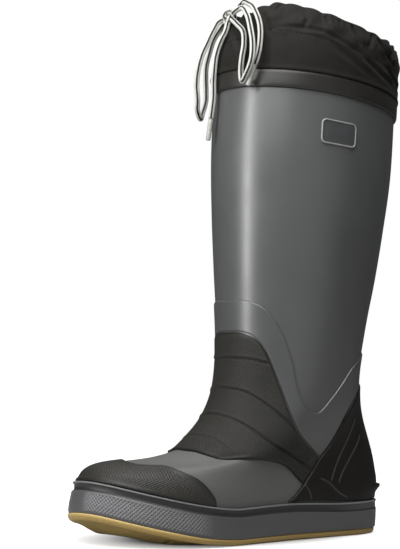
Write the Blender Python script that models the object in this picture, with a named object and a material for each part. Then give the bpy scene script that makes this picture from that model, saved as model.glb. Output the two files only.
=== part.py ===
"""Tall rubber sailing boot for the left foot, as separate pieces round one ring surface.

+X runs to the toe, +Y to the wearer's left (the boot's outer side) and +Z up; the floor is z = 0.
Tables and sizes are in millimetres in the last's own frame, which is then turned a little about Y so
that the sole stands level. Angles are in degrees: 0 at the toe, 90 on the outer side, 180 at the heel.
A level is a place between two rows of SECTIONS, counted from the upper's bottom edge.
"""
from collections import namedtuple
import math

import bmesh
import bpy
import numpy as np
from mathutils import Matrix, Vector
from mathutils.geometry import delaunay_2d_cdt

MM = 0.001
CLEARANCE = 0.3

# Driving sizes
LAST_LENGTH = 277.0
BALL_WIDTH = 97.5
INSTEP_HEIGHT = 95.0
SHAFT_HEIGHT = 386.0
UPPER_WALL = 2.6

# Sole
SOLE_HEIGHT = 28.5
FOOTBED_HEIGHT = 14.0
OUTSOLE_THICKNESS = 4.6
RIM_HEIGHT = 27.0
TOE_SPRING = 27.0
BALL_RISE = 2.2
HEEL_LIFT = 4.5
SPRING_START = 28.0
SPRING_POWER = 1.4
TOE_DEPTH = 1.1
TOE_CORNER_DEPTH = 4.7
INSOLE_THICKNESS = 3.0
HEEL_TUCK = 2.0
GROOVE_WIDTH = 4.0
GROOVE_DEPTH = 2.0
GROOVE_MARGIN = 12.0
GROOVE_STATIONS = (-122.0, -106.0, -90.0, -74.0, -22.0, -4.0, 14.0, 32.0, 50.0, 68.0, 86.0)

# Overlays: rubber sheets moulded on the upper
TOE_CAP_THICKNESS = 1.5
GUARD_THICKNESS = 1.5
COUNTER_THICKNESS = 2.2
PANEL_THICKNESS = 1.0
BADGE_THICKNESS = 1.2
RIB_HEIGHT = 0.8
RIB_WIDTH = 3.2
SPUR_REACH = 6.0
SPUR_EDGE = 0.6
SPUR_HALF_ANGLE = 45.0
SPUR_SEAT_LEVELS = (2.5, 2.0, 1.5)
SPUR_LIP_LEVEL = 2.2

# Collar band, cuff and drawcord
BAND_LEVEL = 17.78
BAND_THICKNESS = 2.0
CUFF_WALL = 1.4
CUFF_FRONT_TOP = 448.0
CUFF_BACK_TOP = 415.0
CUFF_FRONT_DIP = 12.0
CUFF_DIP_ANGLE = 24.0
CUFF_FRONT_DRAW = 12.0
CUFF_BACK_DRAW = 5.0
CUFF_TOP_POWER = 1.6
CUFF_LEAN_BACK = 7.0
CUFF_FOLDS = 12
CUFF_FOLD_DEPTH = 2.2
CUFF_OVERHANG = 1.0
CUFF_SHARES = (0.0, 0.3, 0.6, 0.8, 1.0)
CUFF_DRAW_POWER = 2.2
CUFF_FOLD_POWER = 1.5
CORD_DIAMETER = 4.6
CORD_SPACING = 10.0
KNOT_RADIUS = 7.0
AGLET_LENGTH = 18.0
AGLET_DIAMETER = 4.0

# Mesh density
COLUMNS = 36
MERGE_DISTANCE = 0.6
BORDER_STEPS = 3
SHARP_ANGLE = 40.0
LEVELS = (
    0, 1, 1.5, 2, 2.5, 3, 3.5, 4, 4.5, 5, 6, 7, 8, 9, 10, 11, 12, 13, 14, 15, 16, 17, BAND_LEVEL, 18)
INNER_LEVELS = (0, 1, 2, 3, 4, 6, 8, 10, 12, 14, 16, 18)

# Plan of the foot along its length: place (-1 heel, 1 toe), centre line, width as a share of an ellipse
PlanRow = namedtuple("PlanRow", "along centre width")
PLAN = (
    PlanRow(-1.00, 3.0, 2.00),
    PlanRow(-0.90, 3.0, 1.45),
    PlanRow(-0.75, 3.0, 1.09),
    PlanRow(-0.45, 3.5, 0.80),
    PlanRow(-0.05, 3.5, 0.77),
    PlanRow(0.30, 1.5, 0.97),
    PlanRow(0.55, -1.5, 1.12),
    PlanRow(0.80, -6.0, 1.25),
    PlanRow(1.00, -10.0, 1.38),
)

# Rings from the sole's rim to the collar. front and back: % of the last's length from its middle.
# front_rise and back_rise: 0 floor, 100 instep height, 200 shaft height. width: half, % of the ball's.
# leg: 0 foot plan, 1 round leg. tilt: 0 the sole's spring, 1 one sloping plane.
Section = namedtuple("Section", "front front_rise back back_rise width leg tilt")
SECTIONS = (
    Section(49.8, 61.1, -49.8, 35.8, 51.8, 0.00, 0.00),
    Section(48.2, 65.3, -50.2, 44.2, 50.8, 0.03, 0.00),
    Section(44.4, 67.9, -50.0, 53.7, 49.2, 0.08, 0.05),
    Section(38.3, 68.4, -49.5, 64.2, 48.2, 0.15, 0.20),
    Section(31.8, 67.4, -48.7, 74.7, 47.7, 0.26, 0.40),
    Section(25.3, 68.9, -47.8, 85.3, 47.7, 0.40, 0.60),
    Section(19.1, 73.7, -46.9, 95.8, 48.2, 0.55, 0.80),
    Section(13.4, 84.2, -46.2, 102.1, 49.2, 0.70, 0.95),
    Section(8.1, 100.0, -45.8, 105.7, 50.3, 0.84, 1.00),
    Section(4.3, 106.7, -45.8, 109.8, 51.3, 0.95, 1.00),
    Section(2.5, 114.4, -46.2, 114.8, 52.8, 1.00, 1.00),
    Section(2.0, 123.0, -47.5, 121.6, 54.9, 1.00, 1.00),
    Section(2.2, 132.6, -49.5, 130.2, 57.4, 1.00, 1.00),
    Section(2.7, 144.7, -52.3, 140.9, 61.0, 1.00, 1.00),
    Section(3.1, 160.1, -55.4, 155.3, 65.1, 1.00, 1.00),
    Section(3.1, 177.3, -58.5, 171.8, 68.2, 1.00, 1.00),
    Section(1.8, 200.0, -60.3, 193.6, 70.0, 1.00, 1.00),
)

# Sole's side from the floor up: height, step out from the upper at the toe and at the heel
SideRow = namedtuple("SideRow", "height toe heel")
OUTSOLE_SIDE = (
    SideRow(0.0, 4.6, 0.8),
    SideRow(1.2, 5.8, 1.8),
    SideRow(OUTSOLE_THICKNESS, 6.0, 2.2),
)
WALL_SIDE = (
    SideRow(OUTSOLE_THICKNESS + CLEARANCE, 5.6, 2.3),
    SideRow(12.0, 5.3, 3.0),
    SideRow(19.5, 4.6, 3.4),
    SideRow(20.5, 3.4, 3.3),
    SideRow(24.6, 2.9, 3.1),
    SideRow(25.4, 4.3, 3.9),
    SideRow(27.4, 4.4, 4.0),
    SideRow(SOLE_HEIGHT, 3.4, 3.0),
)

# Overlay edges as (angle, level) on the outer side; the inner side mirrors them
TOE_CAP_FOOT = ((0, 1.74), (20, 1.66), (40, 1.54), (68, 1.38))
TOE_CAP_EDGE = ((68, 1.38), (66, 2.1), (58, 3.6), (43, 4.6), (25, 5.55), (13, 6.0), (0, 6.2))
GUARD_TOP = ((0, 13.25), (21, 13.2), (32, 13.0), (39, 12.65))
GUARD_SIDE = ((39, 12.65), (46, 12.05), (59, 10.85), (77, 9.2), (93, 7.65), (104, 6.3), (111, 5.4))
GUARD_REAR = ((111, 5.4), (109, 4.25), (106, 3.2))
GUARD_FRONT = (
    (106, 3.2), (99, 4.3), (93, 4.9), (86, 5.3), (75, 5.8), (54, 6.65), (32, 7.9), (13, 8.4), (0, 8.45))
COUNTER_FOOT = ((180, 1.3), (140, 1.3), (101, 1.3))
COUNTER_FRONT = ((101, 1.3), (106.7, 3.2), (109.7, 4.25), (111.8, 5.4))
COUNTER_TOP = (
    (111.8, 5.4), (115, 6.7), (117.5, 8.2), (121.5, 9.35), (129, 10.2), (140, 10.75), (158, 11.2),
    (180, 11.35))
PANEL_OUTER = (
    (0.2, 14.15), (23, 14.15), (37, 13.95), (49, 13.35), (58, 12.5), (69, 11.05), (78, 10.35), (90, 9.95),
    (98, 10.6), (107, 11.35), (117, 12.0), (134, 12.45), (158, 12.75), (179.8, 12.8))
PANEL_REAR = ((179.8, 12.8), (179.8, 11.4))
PANEL_HEEL_SIDE = (
    (179.8, 11.4), (158, 11.25), (140, 10.8), (129, 10.25), (121, 9.4), (117, 8.25), (114.5, 6.75),
    (111.4, 5.5))
PANEL_GUARD_SIDE = (
    (111.4, 5.5), (104.4, 6.37), (93.4, 7.72), (77.4, 9.27), (59.4, 10.92), (46.4, 12.12), (39.3, 12.71))
PANEL_GUARD_TOP = ((39.3, 12.71), (32.3, 13.05), (21, 13.25), (0.2, 13.3))
PANEL_FRONT = ((0.2, 13.3), (0.2, 14.15))
GUARD_RIBS = (
    ((-40, 12.3), (-20, 12.45), (0, 12.5), (20, 12.45), (40, 12.3)),
    ((-72, 9.35), (-45, 11.0), (-20, 11.4), (0, 11.45), (20, 11.4), (45, 11.0), (72, 9.35)),
    ((-102, 5.1), (-69, 8.3), (-46, 9.6), (-20, 10.25), (0, 10.4),
     (20, 10.25), (46, 9.6), (69, 8.3), (102, 5.1)),
    ((-60, 6.9), (-45, 8.05), (-27, 8.9), (0, 9.35), (27, 8.9), (45, 8.05), (60, 6.9)),
)
COUNTER_RIBS = (
    ((142, 8.5), (122, 3.8)),
    ((147, 7.4), (129, 3.6)),
    ((114.5, 5.0), (121, 3.2), (131, 1.8)),
    ((108.7, 2.8), (111.5, 1.7)),
)
BADGE_CENTRE = (78.5, 17.31)
BADGE_SIZE = (34.0, 21.0)
BADGE_CORNER = 4.5

# Drawcord: the knot in front of the cuff and the routes that leave it; a loop comes back to it
CORD_KNOT = (-6.4, -11.4, 437.4)
CORD_LOOPS = {
    "cord_loop_right": (
        (-5, -2, 440), (-5, 7, 441), (-2, 18, 433), (3, 29, 419), (7, 37, 402), (10, 39, 389),
        (11, 34, 379), (10, 27, 374), (9, 24, 381), (8, 24, 393), (4, 22, 406), (1, 17, 418), (-1, 6, 427)),
    "cord_loop_left": (
        (2, -14.5, 433), (7, -16, 425), (13, -17, 413), (18, -18, 402), (21, -19, 390), (22, -20, 377),
        (21, -20, 364), (19, -23, 356), (13, -27, 350), (7, -32, 357), (3, -33, 367), (2, -34, 376),
        (3, -33, 387), (4, -31, 397), (3, -28, 407), (1, -25, 418), (-4, -19, 430)),
}
CORD_ENDS = {
    "cord_end_right": (
        (-13, -2, 449), (-12, 9, 445), (-7, 24, 434), (-4, 33, 421), (-1, 37, 408), (2, 38, 396),
        (4, 36, 387)),
    "cord_end_left": (
        (0, -8, 424), (5, -9, 414), (9, -10, 402), (11, -10, 389), (11, -11, 377), (11, -11, 368),
        (12, -11, 359), (13, -12, 348)),
}

RUBBER_GREY = ("grey_rubber", (0.105, 0.105, 0.11), 0.45)
RUBBER_SOLE = ("sole_rubber", (0.10, 0.10, 0.108), 0.6)
RUBBER_BLACK = ("black_rubber", (0.022, 0.021, 0.019), 0.6)
RUBBER_GUM = ("gum_rubber", (0.48, 0.36, 0.13), 0.55)
NYLON_BLACK = ("black_nylon", (0.016, 0.016, 0.014), 0.8)
FOAM_BLACK = ("insole_foam", (0.03, 0.03, 0.03), 0.9)
CORD_WHITE = ("cord_braid", (0.75, 0.75, 0.72), 0.8)
AGLET_CLEAR = ("aglet_film", (0.7, 0.7, 0.68), 0.3)


def smooth(places, values, at):
    """Cubic curve through the values given at the places, read at each `at`."""
    places = np.asarray(places, float)
    values = np.asarray(values, float)
    gaps = np.diff(places)
    slopes = np.diff(values) / gaps
    tangents = np.empty_like(values)
    tangents[1:-1] = (slopes[1:] * gaps[:-1] + slopes[:-1] * gaps[1:]) / (gaps[:-1] + gaps[1:])
    tangents[0] = slopes[0]
    tangents[-1] = slopes[-1]
    at = np.clip(np.asarray(at, float), places[0], places[-1])
    k = np.clip(np.searchsorted(places, at, side="right") - 1, 0, len(places) - 2)
    gap = gaps[k]
    t = (at - places[k]) / gap
    start = (2 * t**3 - 3 * t**2 + 1) * values[k] + (t**3 - 2 * t**2 + t) * gap * tangents[k]
    end = (3 * t**2 - 2 * t**3) * values[k + 1] + (t**3 - t**2) * gap * tangents[k + 1]
    return start + end


FLAT_LENGTH = SPRING_START + LAST_LENGTH / 2
FLOOR_TILT = math.atan((BALL_RISE + HEEL_LIFT) / FLAT_LENGTH)


def heel_share(x):
    """Share of the way from the ball, 0, back to the heel, 1."""
    return np.clip((SPRING_START - np.asarray(x, float)) / FLAT_LENGTH, 0, None)


def spring(x):
    """Rise of the last's bottom over its heel at x."""
    reach = np.clip((np.asarray(x, float) - SPRING_START) / (LAST_LENGTH / 2 - SPRING_START), 0, None)
    return BALL_RISE * (1 - heel_share(x)) + (TOE_SPRING - BALL_RISE) * reach**SPRING_POWER


def ease(low, high, at):
    """Smooth step from 0 at low to 1 at high."""
    t = np.clip((np.asarray(at, float) - low) / (high - low), 0, 1)
    return t * t * (3 - 2 * t)


def extra_depth(x, y):
    """How far the sole reaches below the last's spring: at the heel, under the toe and at its inner corner."""
    corner = TOE_CORNER_DEPTH * ease(90.0, 130.0, x) * ease(20.0, -40.0, y)
    return HEEL_LIFT * heel_share(x) + TOE_DEPTH * ease(30.0, 70.0, x) + corner


def underside(x):
    """Height of the sole's underside at x on the outer side, level from heel to ball on the turned boot."""
    return spring(x) - extra_depth(x, BALL_WIDTH / 2)


def ring_table():
    """Rings in millimetres: front x, front z, back x, back z, half width, leg and tilt."""
    half = LAST_LENGTH / 2
    width = SECTIONS[0].width * BALL_WIDTH / 100
    edges = (FOOTBED_HEIGHT + CLEARANCE, RIM_HEIGHT)
    rows = [(half, z + TOE_SPRING, HEEL_TUCK - half, z, width, 0.0, 0.0) for z in edges]
    heights = (0.0, INSTEP_HEIGHT, SHAFT_HEIGHT)
    for s in SECTIONS:
        front_z, back_z = np.interp((s.front_rise, s.back_rise), (0, 100, 200), heights)
        rows.append((s.front * LAST_LENGTH / 100, front_z, s.back * LAST_LENGTH / 100, back_z,
                     s.width * BALL_WIDTH / 100, s.leg, s.tilt))
    return np.array(rows)


RINGS = ring_table()
PLAN_COLUMNS = np.array(PLAN).T


def surface(angle, level):
    """Points of the upper's outside, in millimetres."""
    angle, level = np.broadcast_arrays(np.radians(angle), np.asarray(level, float))
    numbers = np.arange(len(RINGS))
    front_x, front_z, back_x, back_z, width, leg, tilt = (smooth(numbers, c, level) for c in RINGS.T)
    along = np.cos(angle)
    centre = smooth(PLAN_COLUMNS[0], PLAN_COLUMNS[1], along)
    spread = smooth(PLAN_COLUMNS[0], PLAN_COLUMNS[2], along)
    x = (front_x + back_x) / 2 + (front_x - back_x) / 2 * along
    y = (1 - leg) * centre + width * ((1 - leg) * spread + leg) * np.sin(angle)
    sole_rise = spring(along * LAST_LENGTH / 2) / TOE_SPRING
    z = back_z + (front_z - back_z) * ((1 - tilt) * sole_rise + tilt * (along + 1) / 2)
    return np.stack((x, y, z), -1)


def normals(angle, level):
    """Outward unit normals of the upper's outside."""
    step = 0.02
    top = len(RINGS) - 1
    around = surface(np.add(angle, step), level) - surface(np.subtract(angle, step), level)
    above = np.minimum(np.add(level, step), top)
    below = np.maximum(np.subtract(level, step), 0)
    n = np.cross(around, surface(angle, above) - surface(angle, below))
    return n / np.linalg.norm(n, axis=-1, keepdims=True)


def offset_surface(angle, level, distance):
    """The upper's outside moved out by a distance."""
    return surface(angle, level) + normals(angle, level) * np.asarray(distance)[..., None]


ANGLES = np.arange(COLUMNS) * 360.0 / COLUMNS


def outline(step):
    """Plan of the upper's rim ring stepped outwards, as x and y columns; the step may vary round it."""
    rim = surface(ANGLES, 1.0)
    out = normals(ANGLES, 0.5)
    return rim[:, :2] + out[:, :2] * np.asarray(step)[..., None]


def sole_ring(height, step):
    """Ring of the sole at a height over the last's bottom."""
    plan = outline(step)
    return np.column_stack((plan, height + spring(plan[:, 0])))


def side_ring(row):
    """Ring of the sole's side from one row of its table, lower where the sole is thicker."""
    toe_share = (1 + np.cos(np.radians(ANGLES))) / 2
    ring = sole_ring(row.height, row.heel + (row.toe - row.heel) * toe_share)
    ring[:, 2] -= extra_depth(ring[:, 0], ring[:, 1]) * (1 - row.height / SOLE_HEIGHT)
    return ring


def material(name, colour, roughness):
    """Principled material of one colour, made once."""
    found = bpy.data.materials.get(name)
    if found:
        return found
    made = bpy.data.materials.new(name)
    made.use_nodes = True
    shader = made.node_tree.nodes["Principled BSDF"]
    shader.inputs["Base Color"].default_value = (*colour, 1.0)
    shader.inputs["Roughness"].default_value = roughness
    made.diffuse_color = (*colour, 1.0)
    return made


def add_solid(name, points, faces, finish, root):
    """Mesh object from points in millimetres, its faces turned outwards, smooth but for sharp edges."""
    mesh = bpy.data.meshes.new(name)
    mesh.from_pydata([tuple(p) for p in np.asarray(points, float) * MM], [], faces)
    work = bmesh.new()
    work.from_mesh(mesh)
    bmesh.ops.triangulate(work, faces=work.faces[:])
    bmesh.ops.recalc_face_normals(work, faces=work.faces[:])
    work.to_mesh(mesh)
    work.free()
    mesh.shade_smooth()
    mesh.set_sharp_from_angle(angle=math.radians(SHARP_ANGLE))
    mesh.materials.append(material(*finish))
    solid = bpy.data.objects.new(name, mesh)
    bpy.context.scene.collection.objects.link(solid)
    solid.parent = root
    return solid


def ring_faces(first, second, count):
    """Triangles between two closed rings whose points start at the indices first and second."""
    faces = []
    for i in range(count):
        j = (i + 1) % count
        faces += [(first + i, first + j, second + j), (first + i, second + j, second + i)]
    return faces


def cap_faces(first, count):
    """Strips across a ring that is symmetric about its point 0, from one side to the other."""
    faces = [(first, first + 1, first + count - 1)]
    for i in range(1, count // 2 - 1):
        faces.append((first + i, first + i + 1, first + count - i - 1, first + count - i))
    faces.append((first + count // 2 - 1, first + count // 2, first + count // 2 + 1))
    return faces


def add_rings(name, rings, finish, root, capped=True):
    """Solid through rings from bottom to top; not capped, the last ring joins the first."""
    count = len(rings[0])
    faces = []
    for k in range(len(rings) - 1):
        faces += ring_faces(k * count, (k + 1) * count, count)
    if capped:
        faces += cap_faces(0, count) + cap_faces((len(rings) - 1) * count, count)
    else:
        faces += ring_faces((len(rings) - 1) * count, 0, count)
    return add_solid(name, np.concatenate(rings), faces, finish, root)


def add_upper(root):
    """Hollow rubber foot and shaft, open at the collar and underneath."""
    outside = [surface(ANGLES, level) for level in LEVELS]
    inset = np.full(COLUMNS, -UPPER_WALL)
    hollow = [offset_surface(ANGLES, level, inset) for level in reversed(INNER_LEVELS)]
    add_rings("upper", outside + hollow, RUBBER_GREY, root, capped=False)


def add_sole(root):
    """Cup sole wall, gum outsole with its grooves, and the insole."""
    tray = [side_ring(row) for row in WALL_SIDE]
    tray.append(sole_ring(SOLE_HEIGHT, np.full(COLUMNS, CLEARANCE)))
    tray.append(sole_ring(FOOTBED_HEIGHT, np.full(COLUMNS, CLEARANCE)))
    add_rings("sole_wall", tray, RUBBER_SOLE, root)

    outsole = add_rings("outsole", [side_ring(row) for row in OUTSOLE_SIDE], RUBBER_GUM, root)
    cut = outsole.modifiers.new("grooves", "BOOLEAN")
    cut.operation = "DIFFERENCE"
    cut.object = add_groove_cutter(root)

    inset = -(UPPER_WALL + CLEARANCE)
    low = FOOTBED_HEIGHT + CLEARANCE
    insole = [sole_ring(z, np.full(COLUMNS, inset)) for z in (low, low + INSOLE_THICKNESS)]
    add_rings("insole", insole, FOAM_BLACK, root)


def add_groove_cutter(root):
    """Bars across the sole, one for each groove, following the sole's spring."""
    edge = outline(np.full(COLUMNS, OUTSOLE_SIDE[0].heel))
    outer = edge[1:COLUMNS // 2][::-1]
    inner = edge[COLUMNS // 2 + 1:]
    points = []
    faces = []
    for station in GROOVE_STATIONS:
        high = np.interp(station, outer[:, 0], outer[:, 1]) - GROOVE_MARGIN
        low = np.interp(station, inner[:, 0], inner[:, 1]) + GROOVE_MARGIN
        first = len(points)
        for x in (station - GROOVE_WIDTH / 2, station + GROOVE_WIDTH / 2):
            top = underside(x) + GROOVE_DEPTH
            bottom = underside(x) - GROOVE_DEPTH
            points += [(x, low, bottom), (x, high, bottom), (x, high, top), (x, low, top)]
        faces += [tuple(first + k for k in quad) for quad in (
            (0, 1, 2, 3), (4, 7, 6, 5), (0, 4, 5, 1), (1, 5, 6, 2), (2, 6, 7, 3), (3, 7, 4, 0))]
    cutter = add_solid("groove_cutter", points, faces, RUBBER_GUM, root)
    cutter.hide_render = True
    cutter.display_type = "WIRE"
    return cutter


def run_along(points):
    """Distance of each point from the first along the line through them."""
    return np.concatenate(([0], np.cumsum(np.linalg.norm(np.diff(points, axis=0), axis=1))))


def curve_points(points, steps):
    """Smooth curve through (angle, level) points, `steps` pieces between each two."""
    points = np.asarray(points, float)
    if len(points) < 3:
        shares = np.linspace(0, 1, steps + 1)[:, None]
        return points[0] + (points[-1] - points[0]) * shares
    reach = run_along(to_flat(points))
    at = np.interp(np.arange((len(points) - 1) * steps + 1) / steps, np.arange(len(points)), reach)
    return np.column_stack((smooth(reach, points[:, 0], at), smooth(reach, points[:, 1], at)))


SIDE_HEIGHTS = surface(90.0, np.arange(len(RINGS)))[:, 2]


def to_flat(points):
    """Angles and levels as a flat map in about millimetres."""
    points = np.asarray(points, float)
    return np.column_stack((points[:, 0], np.interp(points[:, 1], np.arange(len(RINGS)), SIDE_HEIGHTS)))


def from_flat(points):
    """Flat map back to angles and levels."""
    return np.column_stack((points[:, 0], np.interp(points[:, 1], SIDE_HEIGHTS, np.arange(len(RINGS)))))


def on_facets(points, distances):
    """Points at distances outside the upper's own facets, so that a sheet there stays parallel to them."""
    levels = np.asarray(LEVELS, float)
    step = 360.0 / COLUMNS
    column = np.floor(points[:, 0] / step + 1e-9).astype(int)
    row = np.clip(np.searchsorted(levels, points[:, 1] + 1e-9, side="right") - 1, 0, len(levels) - 2)
    across = (points[:, 0] / step - column)[:, None]
    up = ((points[:, 1] - levels[row]) / (levels[row + 1] - levels[row]))[:, None]

    def corner(right, above):
        return offset_surface((column + right) * step, levels[row + above], distances)

    near, far = corner(0, 0), corner(1, 1)
    right, above = corner(1, 0), corner(0, 1)
    low_half = near + across * (right - near) + up * (far - right)
    high_half = near + up * (above - near) + across * (far - above)
    return np.where(across >= up, low_half, high_half)


def inside(loop, points):
    """True for each point inside a closed flat loop."""
    result = np.zeros(len(points), bool)
    for (x0, y0), (x1, y1) in zip(loop, np.roll(loop, -1, axis=0)):
        spans = (y0 > points[:, 1]) != (y1 > points[:, 1])
        if spans.any():
            crossing = x0 + (points[:, 1] - y0) * (x1 - x0) / (y1 - y0)
            result ^= spans & (points[:, 0] < crossing)
    return result


def rib_sides(path):
    """Flat lines along both feet of a rib; they meet at its ends."""
    along = np.gradient(path, axis=0)
    along /= np.linalg.norm(along, axis=1, keepdims=True)
    side = np.column_stack((-along[:, 1], along[:, 0])) * RIB_WIDTH / 2
    side[0] = 0
    side[-1] = 0
    return path + side, path - side


def near_path(path, points, reach):
    """True for each point within reach of a flat path, its two ends left out."""
    result = np.zeros(len(points), bool)
    for start, end in zip(path, path[1:]):
        run = end - start
        share = np.clip((points - start) @ run / (run @ run), 0, 1)
        result |= np.linalg.norm(points - start - share[:, None] * run, axis=1) < reach
    for tip in (path[0], path[-1]):
        result &= np.linalg.norm(points - tip, axis=1) > reach
    return result


def grid_edges(low_angle, high_angle):
    """The upper's own facet lines between two angles, as flat points and edges."""
    step = 360.0 / COLUMNS
    columns = np.arange(math.floor(low_angle / step) - 1, math.ceil(high_angle / step) + 2) * step
    wide = len(columns)
    points = to_flat([(a, level) for level in LEVELS for a in columns])
    edges = []
    for r in range(len(LEVELS)):
        for c in range(wide):
            here = r * wide + c
            if c + 1 < wide:
                edges.append((here, here + 1))
            if r + 1 < len(LEVELS):
                edges.append((here, here + wide))
            if c + 1 < wide and r + 1 < len(LEVELS):
                edges.append((here, here + wide + 1))
    return points, edges


def cut_sheet(points, edges, loop, keep_rim):
    """Flat triangles inside a loop along all the given lines, with points very close to each other joined."""
    flat, _, triangles, *_ = delaunay_2d_cdt([Vector(p) for p in points], edges, [], 0, 1e-4)
    middles = np.array([np.mean([flat[k] for k in t], axis=0) for t in triangles])
    sheet = bmesh.new()
    corners = [sheet.verts.new((*p, 0.0)) for p in flat]
    for t, inner in zip(triangles, inside(loop, middles)):
        if inner:
            sheet.faces.new([corners[k] for k in t])
    bmesh.ops.delete(sheet, geom=[v for v in sheet.verts if not v.link_faces], context="VERTS")
    free = [v for v in sheet.verts if not (keep_rim and v.is_boundary)]
    bmesh.ops.remove_doubles(sheet, verts=free, dist=MERGE_DISTANCE)
    sheet.verts.index_update()
    flat = np.array([v.co[:2] for v in sheet.verts])
    faces = [tuple(v.index for v in f.verts) for f in sheet.faces]
    lines = [tuple(v.index for v in e.verts) for e in sheet.edges]
    rim = [(e.link_loops[0].vert.index, e.link_loops[0].link_loop_next.vert.index)
           for e in sheet.edges if e.is_boundary]
    sheet.free()
    return flat, faces, lines, rim


def add_overlay(name, border, thickness, finish, root, ribs=()):
    """Sheet cut from the upper's surface by a border of (angle, level) points, with raised ribs."""
    loop = to_flat(border)
    points, edges = grid_edges(loop[:, 0].min(), loop[:, 0].max())
    rim_edges = [(len(points) + k, len(points) + (k + 1) % len(loop)) for k in range(len(loop))]
    all_points = np.concatenate((points, loop))
    flat, faces, lines, rim = cut_sheet(all_points, edges + rim_edges, loop, keep_rim=False)

    crests = [to_flat(rib) for rib in ribs]
    top_flat = flat
    top_faces = faces
    if crests:
        top_points = list(flat)
        for crest in crests:
            for line in (crest, *rib_sides(crest)):
                first = len(top_points)
                top_points += list(line)
                lines += [(first + k, first + k + 1) for k in range(len(line) - 1)]
        top_flat, top_faces, *_ = cut_sheet(top_points, lines, ordered_rim(flat, rim), keep_rim=True)

    rise = np.full(len(top_flat), CLEARANCE + thickness)
    for crest in crests:
        rise[near_path(crest, top_flat, MERGE_DISTANCE)] += RIB_HEIGHT
    low = on_facets(from_flat(flat), np.full(len(flat), CLEARANCE))
    high = on_facets(from_flat(top_flat), rise)
    count = len(flat)
    above = {k: count + int(np.argmin(np.linalg.norm(top_flat - flat[k], axis=1))) for k, _ in rim}
    solid = [tuple(count + k for k in t) for t in top_faces]
    solid += [tuple(reversed(t)) for t in faces]
    solid += [(a, b, above[b], above[a]) for a, b in rim]
    return add_solid(name, np.concatenate((low, high)), solid, finish, root)


def ordered_rim(flat, rim):
    """Rim points of a flat sheet in order round it."""
    following = dict(rim)
    start = rim[0][0]
    order = [start]
    while following[order[-1]] != start:
        order.append(following[order[-1]])
    return flat[order]


def mirrored(edge, angle):
    """An edge on the other side of an angle, run backwards."""
    return tuple((2 * angle - a, level) for a, level in reversed(edge))


def border_of(edges):
    """One closed border from smooth edges that follow each other round."""
    return np.concatenate([curve_points(edge, BORDER_STEPS)[:-1] for edge in edges])


def symmetric_border(edges, angle):
    """Closed border from the edges of one half; the first starts and the last ends on the mirror angle."""
    first, *middle, last = edges
    whole = [mirrored(first, angle) + first[1:], *middle, last + mirrored(last, angle)[1:]]
    whole += [mirrored(edge, angle) for edge in reversed(middle)]
    return border_of(whole)


def add_overlays(root):
    """Toe cap, instep guard, heel counter, ankle panel halves and the blank badge."""
    toe, heel = 0.0, 180.0
    cap = symmetric_border([TOE_CAP_FOOT, TOE_CAP_EDGE], toe)
    add_overlay("toe_cap", cap, TOE_CAP_THICKNESS, RUBBER_BLACK, root)
    guard = symmetric_border([GUARD_TOP, GUARD_SIDE, GUARD_REAR, GUARD_FRONT], toe)
    add_overlay("instep_guard", guard, GUARD_THICKNESS, RUBBER_BLACK, root, ribs=GUARD_RIBS)
    counter = symmetric_border([COUNTER_FOOT, COUNTER_FRONT, COUNTER_TOP], heel)
    ribs = COUNTER_RIBS + tuple(mirrored(rib, heel) for rib in COUNTER_RIBS)
    add_overlay("heel_counter", counter, COUNTER_THICKNESS, RUBBER_BLACK, root, ribs=ribs)
    panel = [PANEL_OUTER, PANEL_REAR, PANEL_HEEL_SIDE, PANEL_GUARD_SIDE, PANEL_GUARD_TOP, PANEL_FRONT]
    add_overlay("ankle_panel_outer", border_of(panel), PANEL_THICKNESS, RUBBER_GREY, root)
    panel = [mirrored(edge, toe) for edge in reversed(panel)]
    add_overlay("ankle_panel_inner", border_of(panel), PANEL_THICKNESS, RUBBER_GREY, root)
    add_overlay("badge", badge_border(), BADGE_THICKNESS, RUBBER_BLACK, root)


def badge_border():
    """Rounded rectangle on the shaft's outer side, its long sides along the rings."""
    angle, level = BADGE_CENTRE
    middle = surface(angle, level)
    per_degree = np.linalg.norm(surface(angle + 1, level) - middle)
    per_level = np.linalg.norm(surface(angle, level + 0.1) - middle) * 10
    half_width, half_height = BADGE_SIZE[0] / 2, BADGE_SIZE[1] / 2
    points = []
    for quarter in range(4):
        for turn in (0.0, 30.0, 60.0, 90.0):
            a = math.radians(quarter * 90 + turn)
            x = math.copysign(half_width - BADGE_CORNER, math.cos(math.radians(quarter * 90 + 45)))
            y = math.copysign(half_height - BADGE_CORNER, math.sin(math.radians(quarter * 90 + 45)))
            x += BADGE_CORNER * math.cos(a)
            y += BADGE_CORNER * math.sin(a)
            points.append((angle + x / per_degree, level + y / per_level))
    return np.array(points)


def add_spur(root):
    """Ledge at the back of the heel for pushing the boot off, on the counter's outside."""
    step = 360.0 / COLUMNS
    reach = int(SPUR_HALF_ANGLE // step)
    angles = 180.0 + np.arange(-reach, reach + 1) * step
    share = np.cos(np.radians(90.0 * (angles - 180.0) / (SPUR_HALF_ANGLE + step)))
    seat = np.full(len(angles), 2 * CLEARANCE + COUNTER_THICKNESS)
    out = seat + SPUR_EDGE + SPUR_REACH * share
    lines = [offset_surface(angles, SPUR_LIP_LEVEL, out), offset_surface(angles, SPUR_SEAT_LEVELS[0], out)]
    lines += [offset_surface(angles, level, seat) for level in SPUR_SEAT_LEVELS]
    count = len(angles)
    faces = []
    for k in range(len(lines)):
        first, second = k * count, ((k + 1) % len(lines)) * count
        faces += [(first + i, first + i + 1, second + i + 1, second + i) for i in range(count - 1)]
    for end in (0, count - 1):
        faces.append(tuple(k * count + end for k in range(len(lines))))
    add_solid("kick_spur", np.concatenate(lines), faces, RUBBER_BLACK, root)


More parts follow.
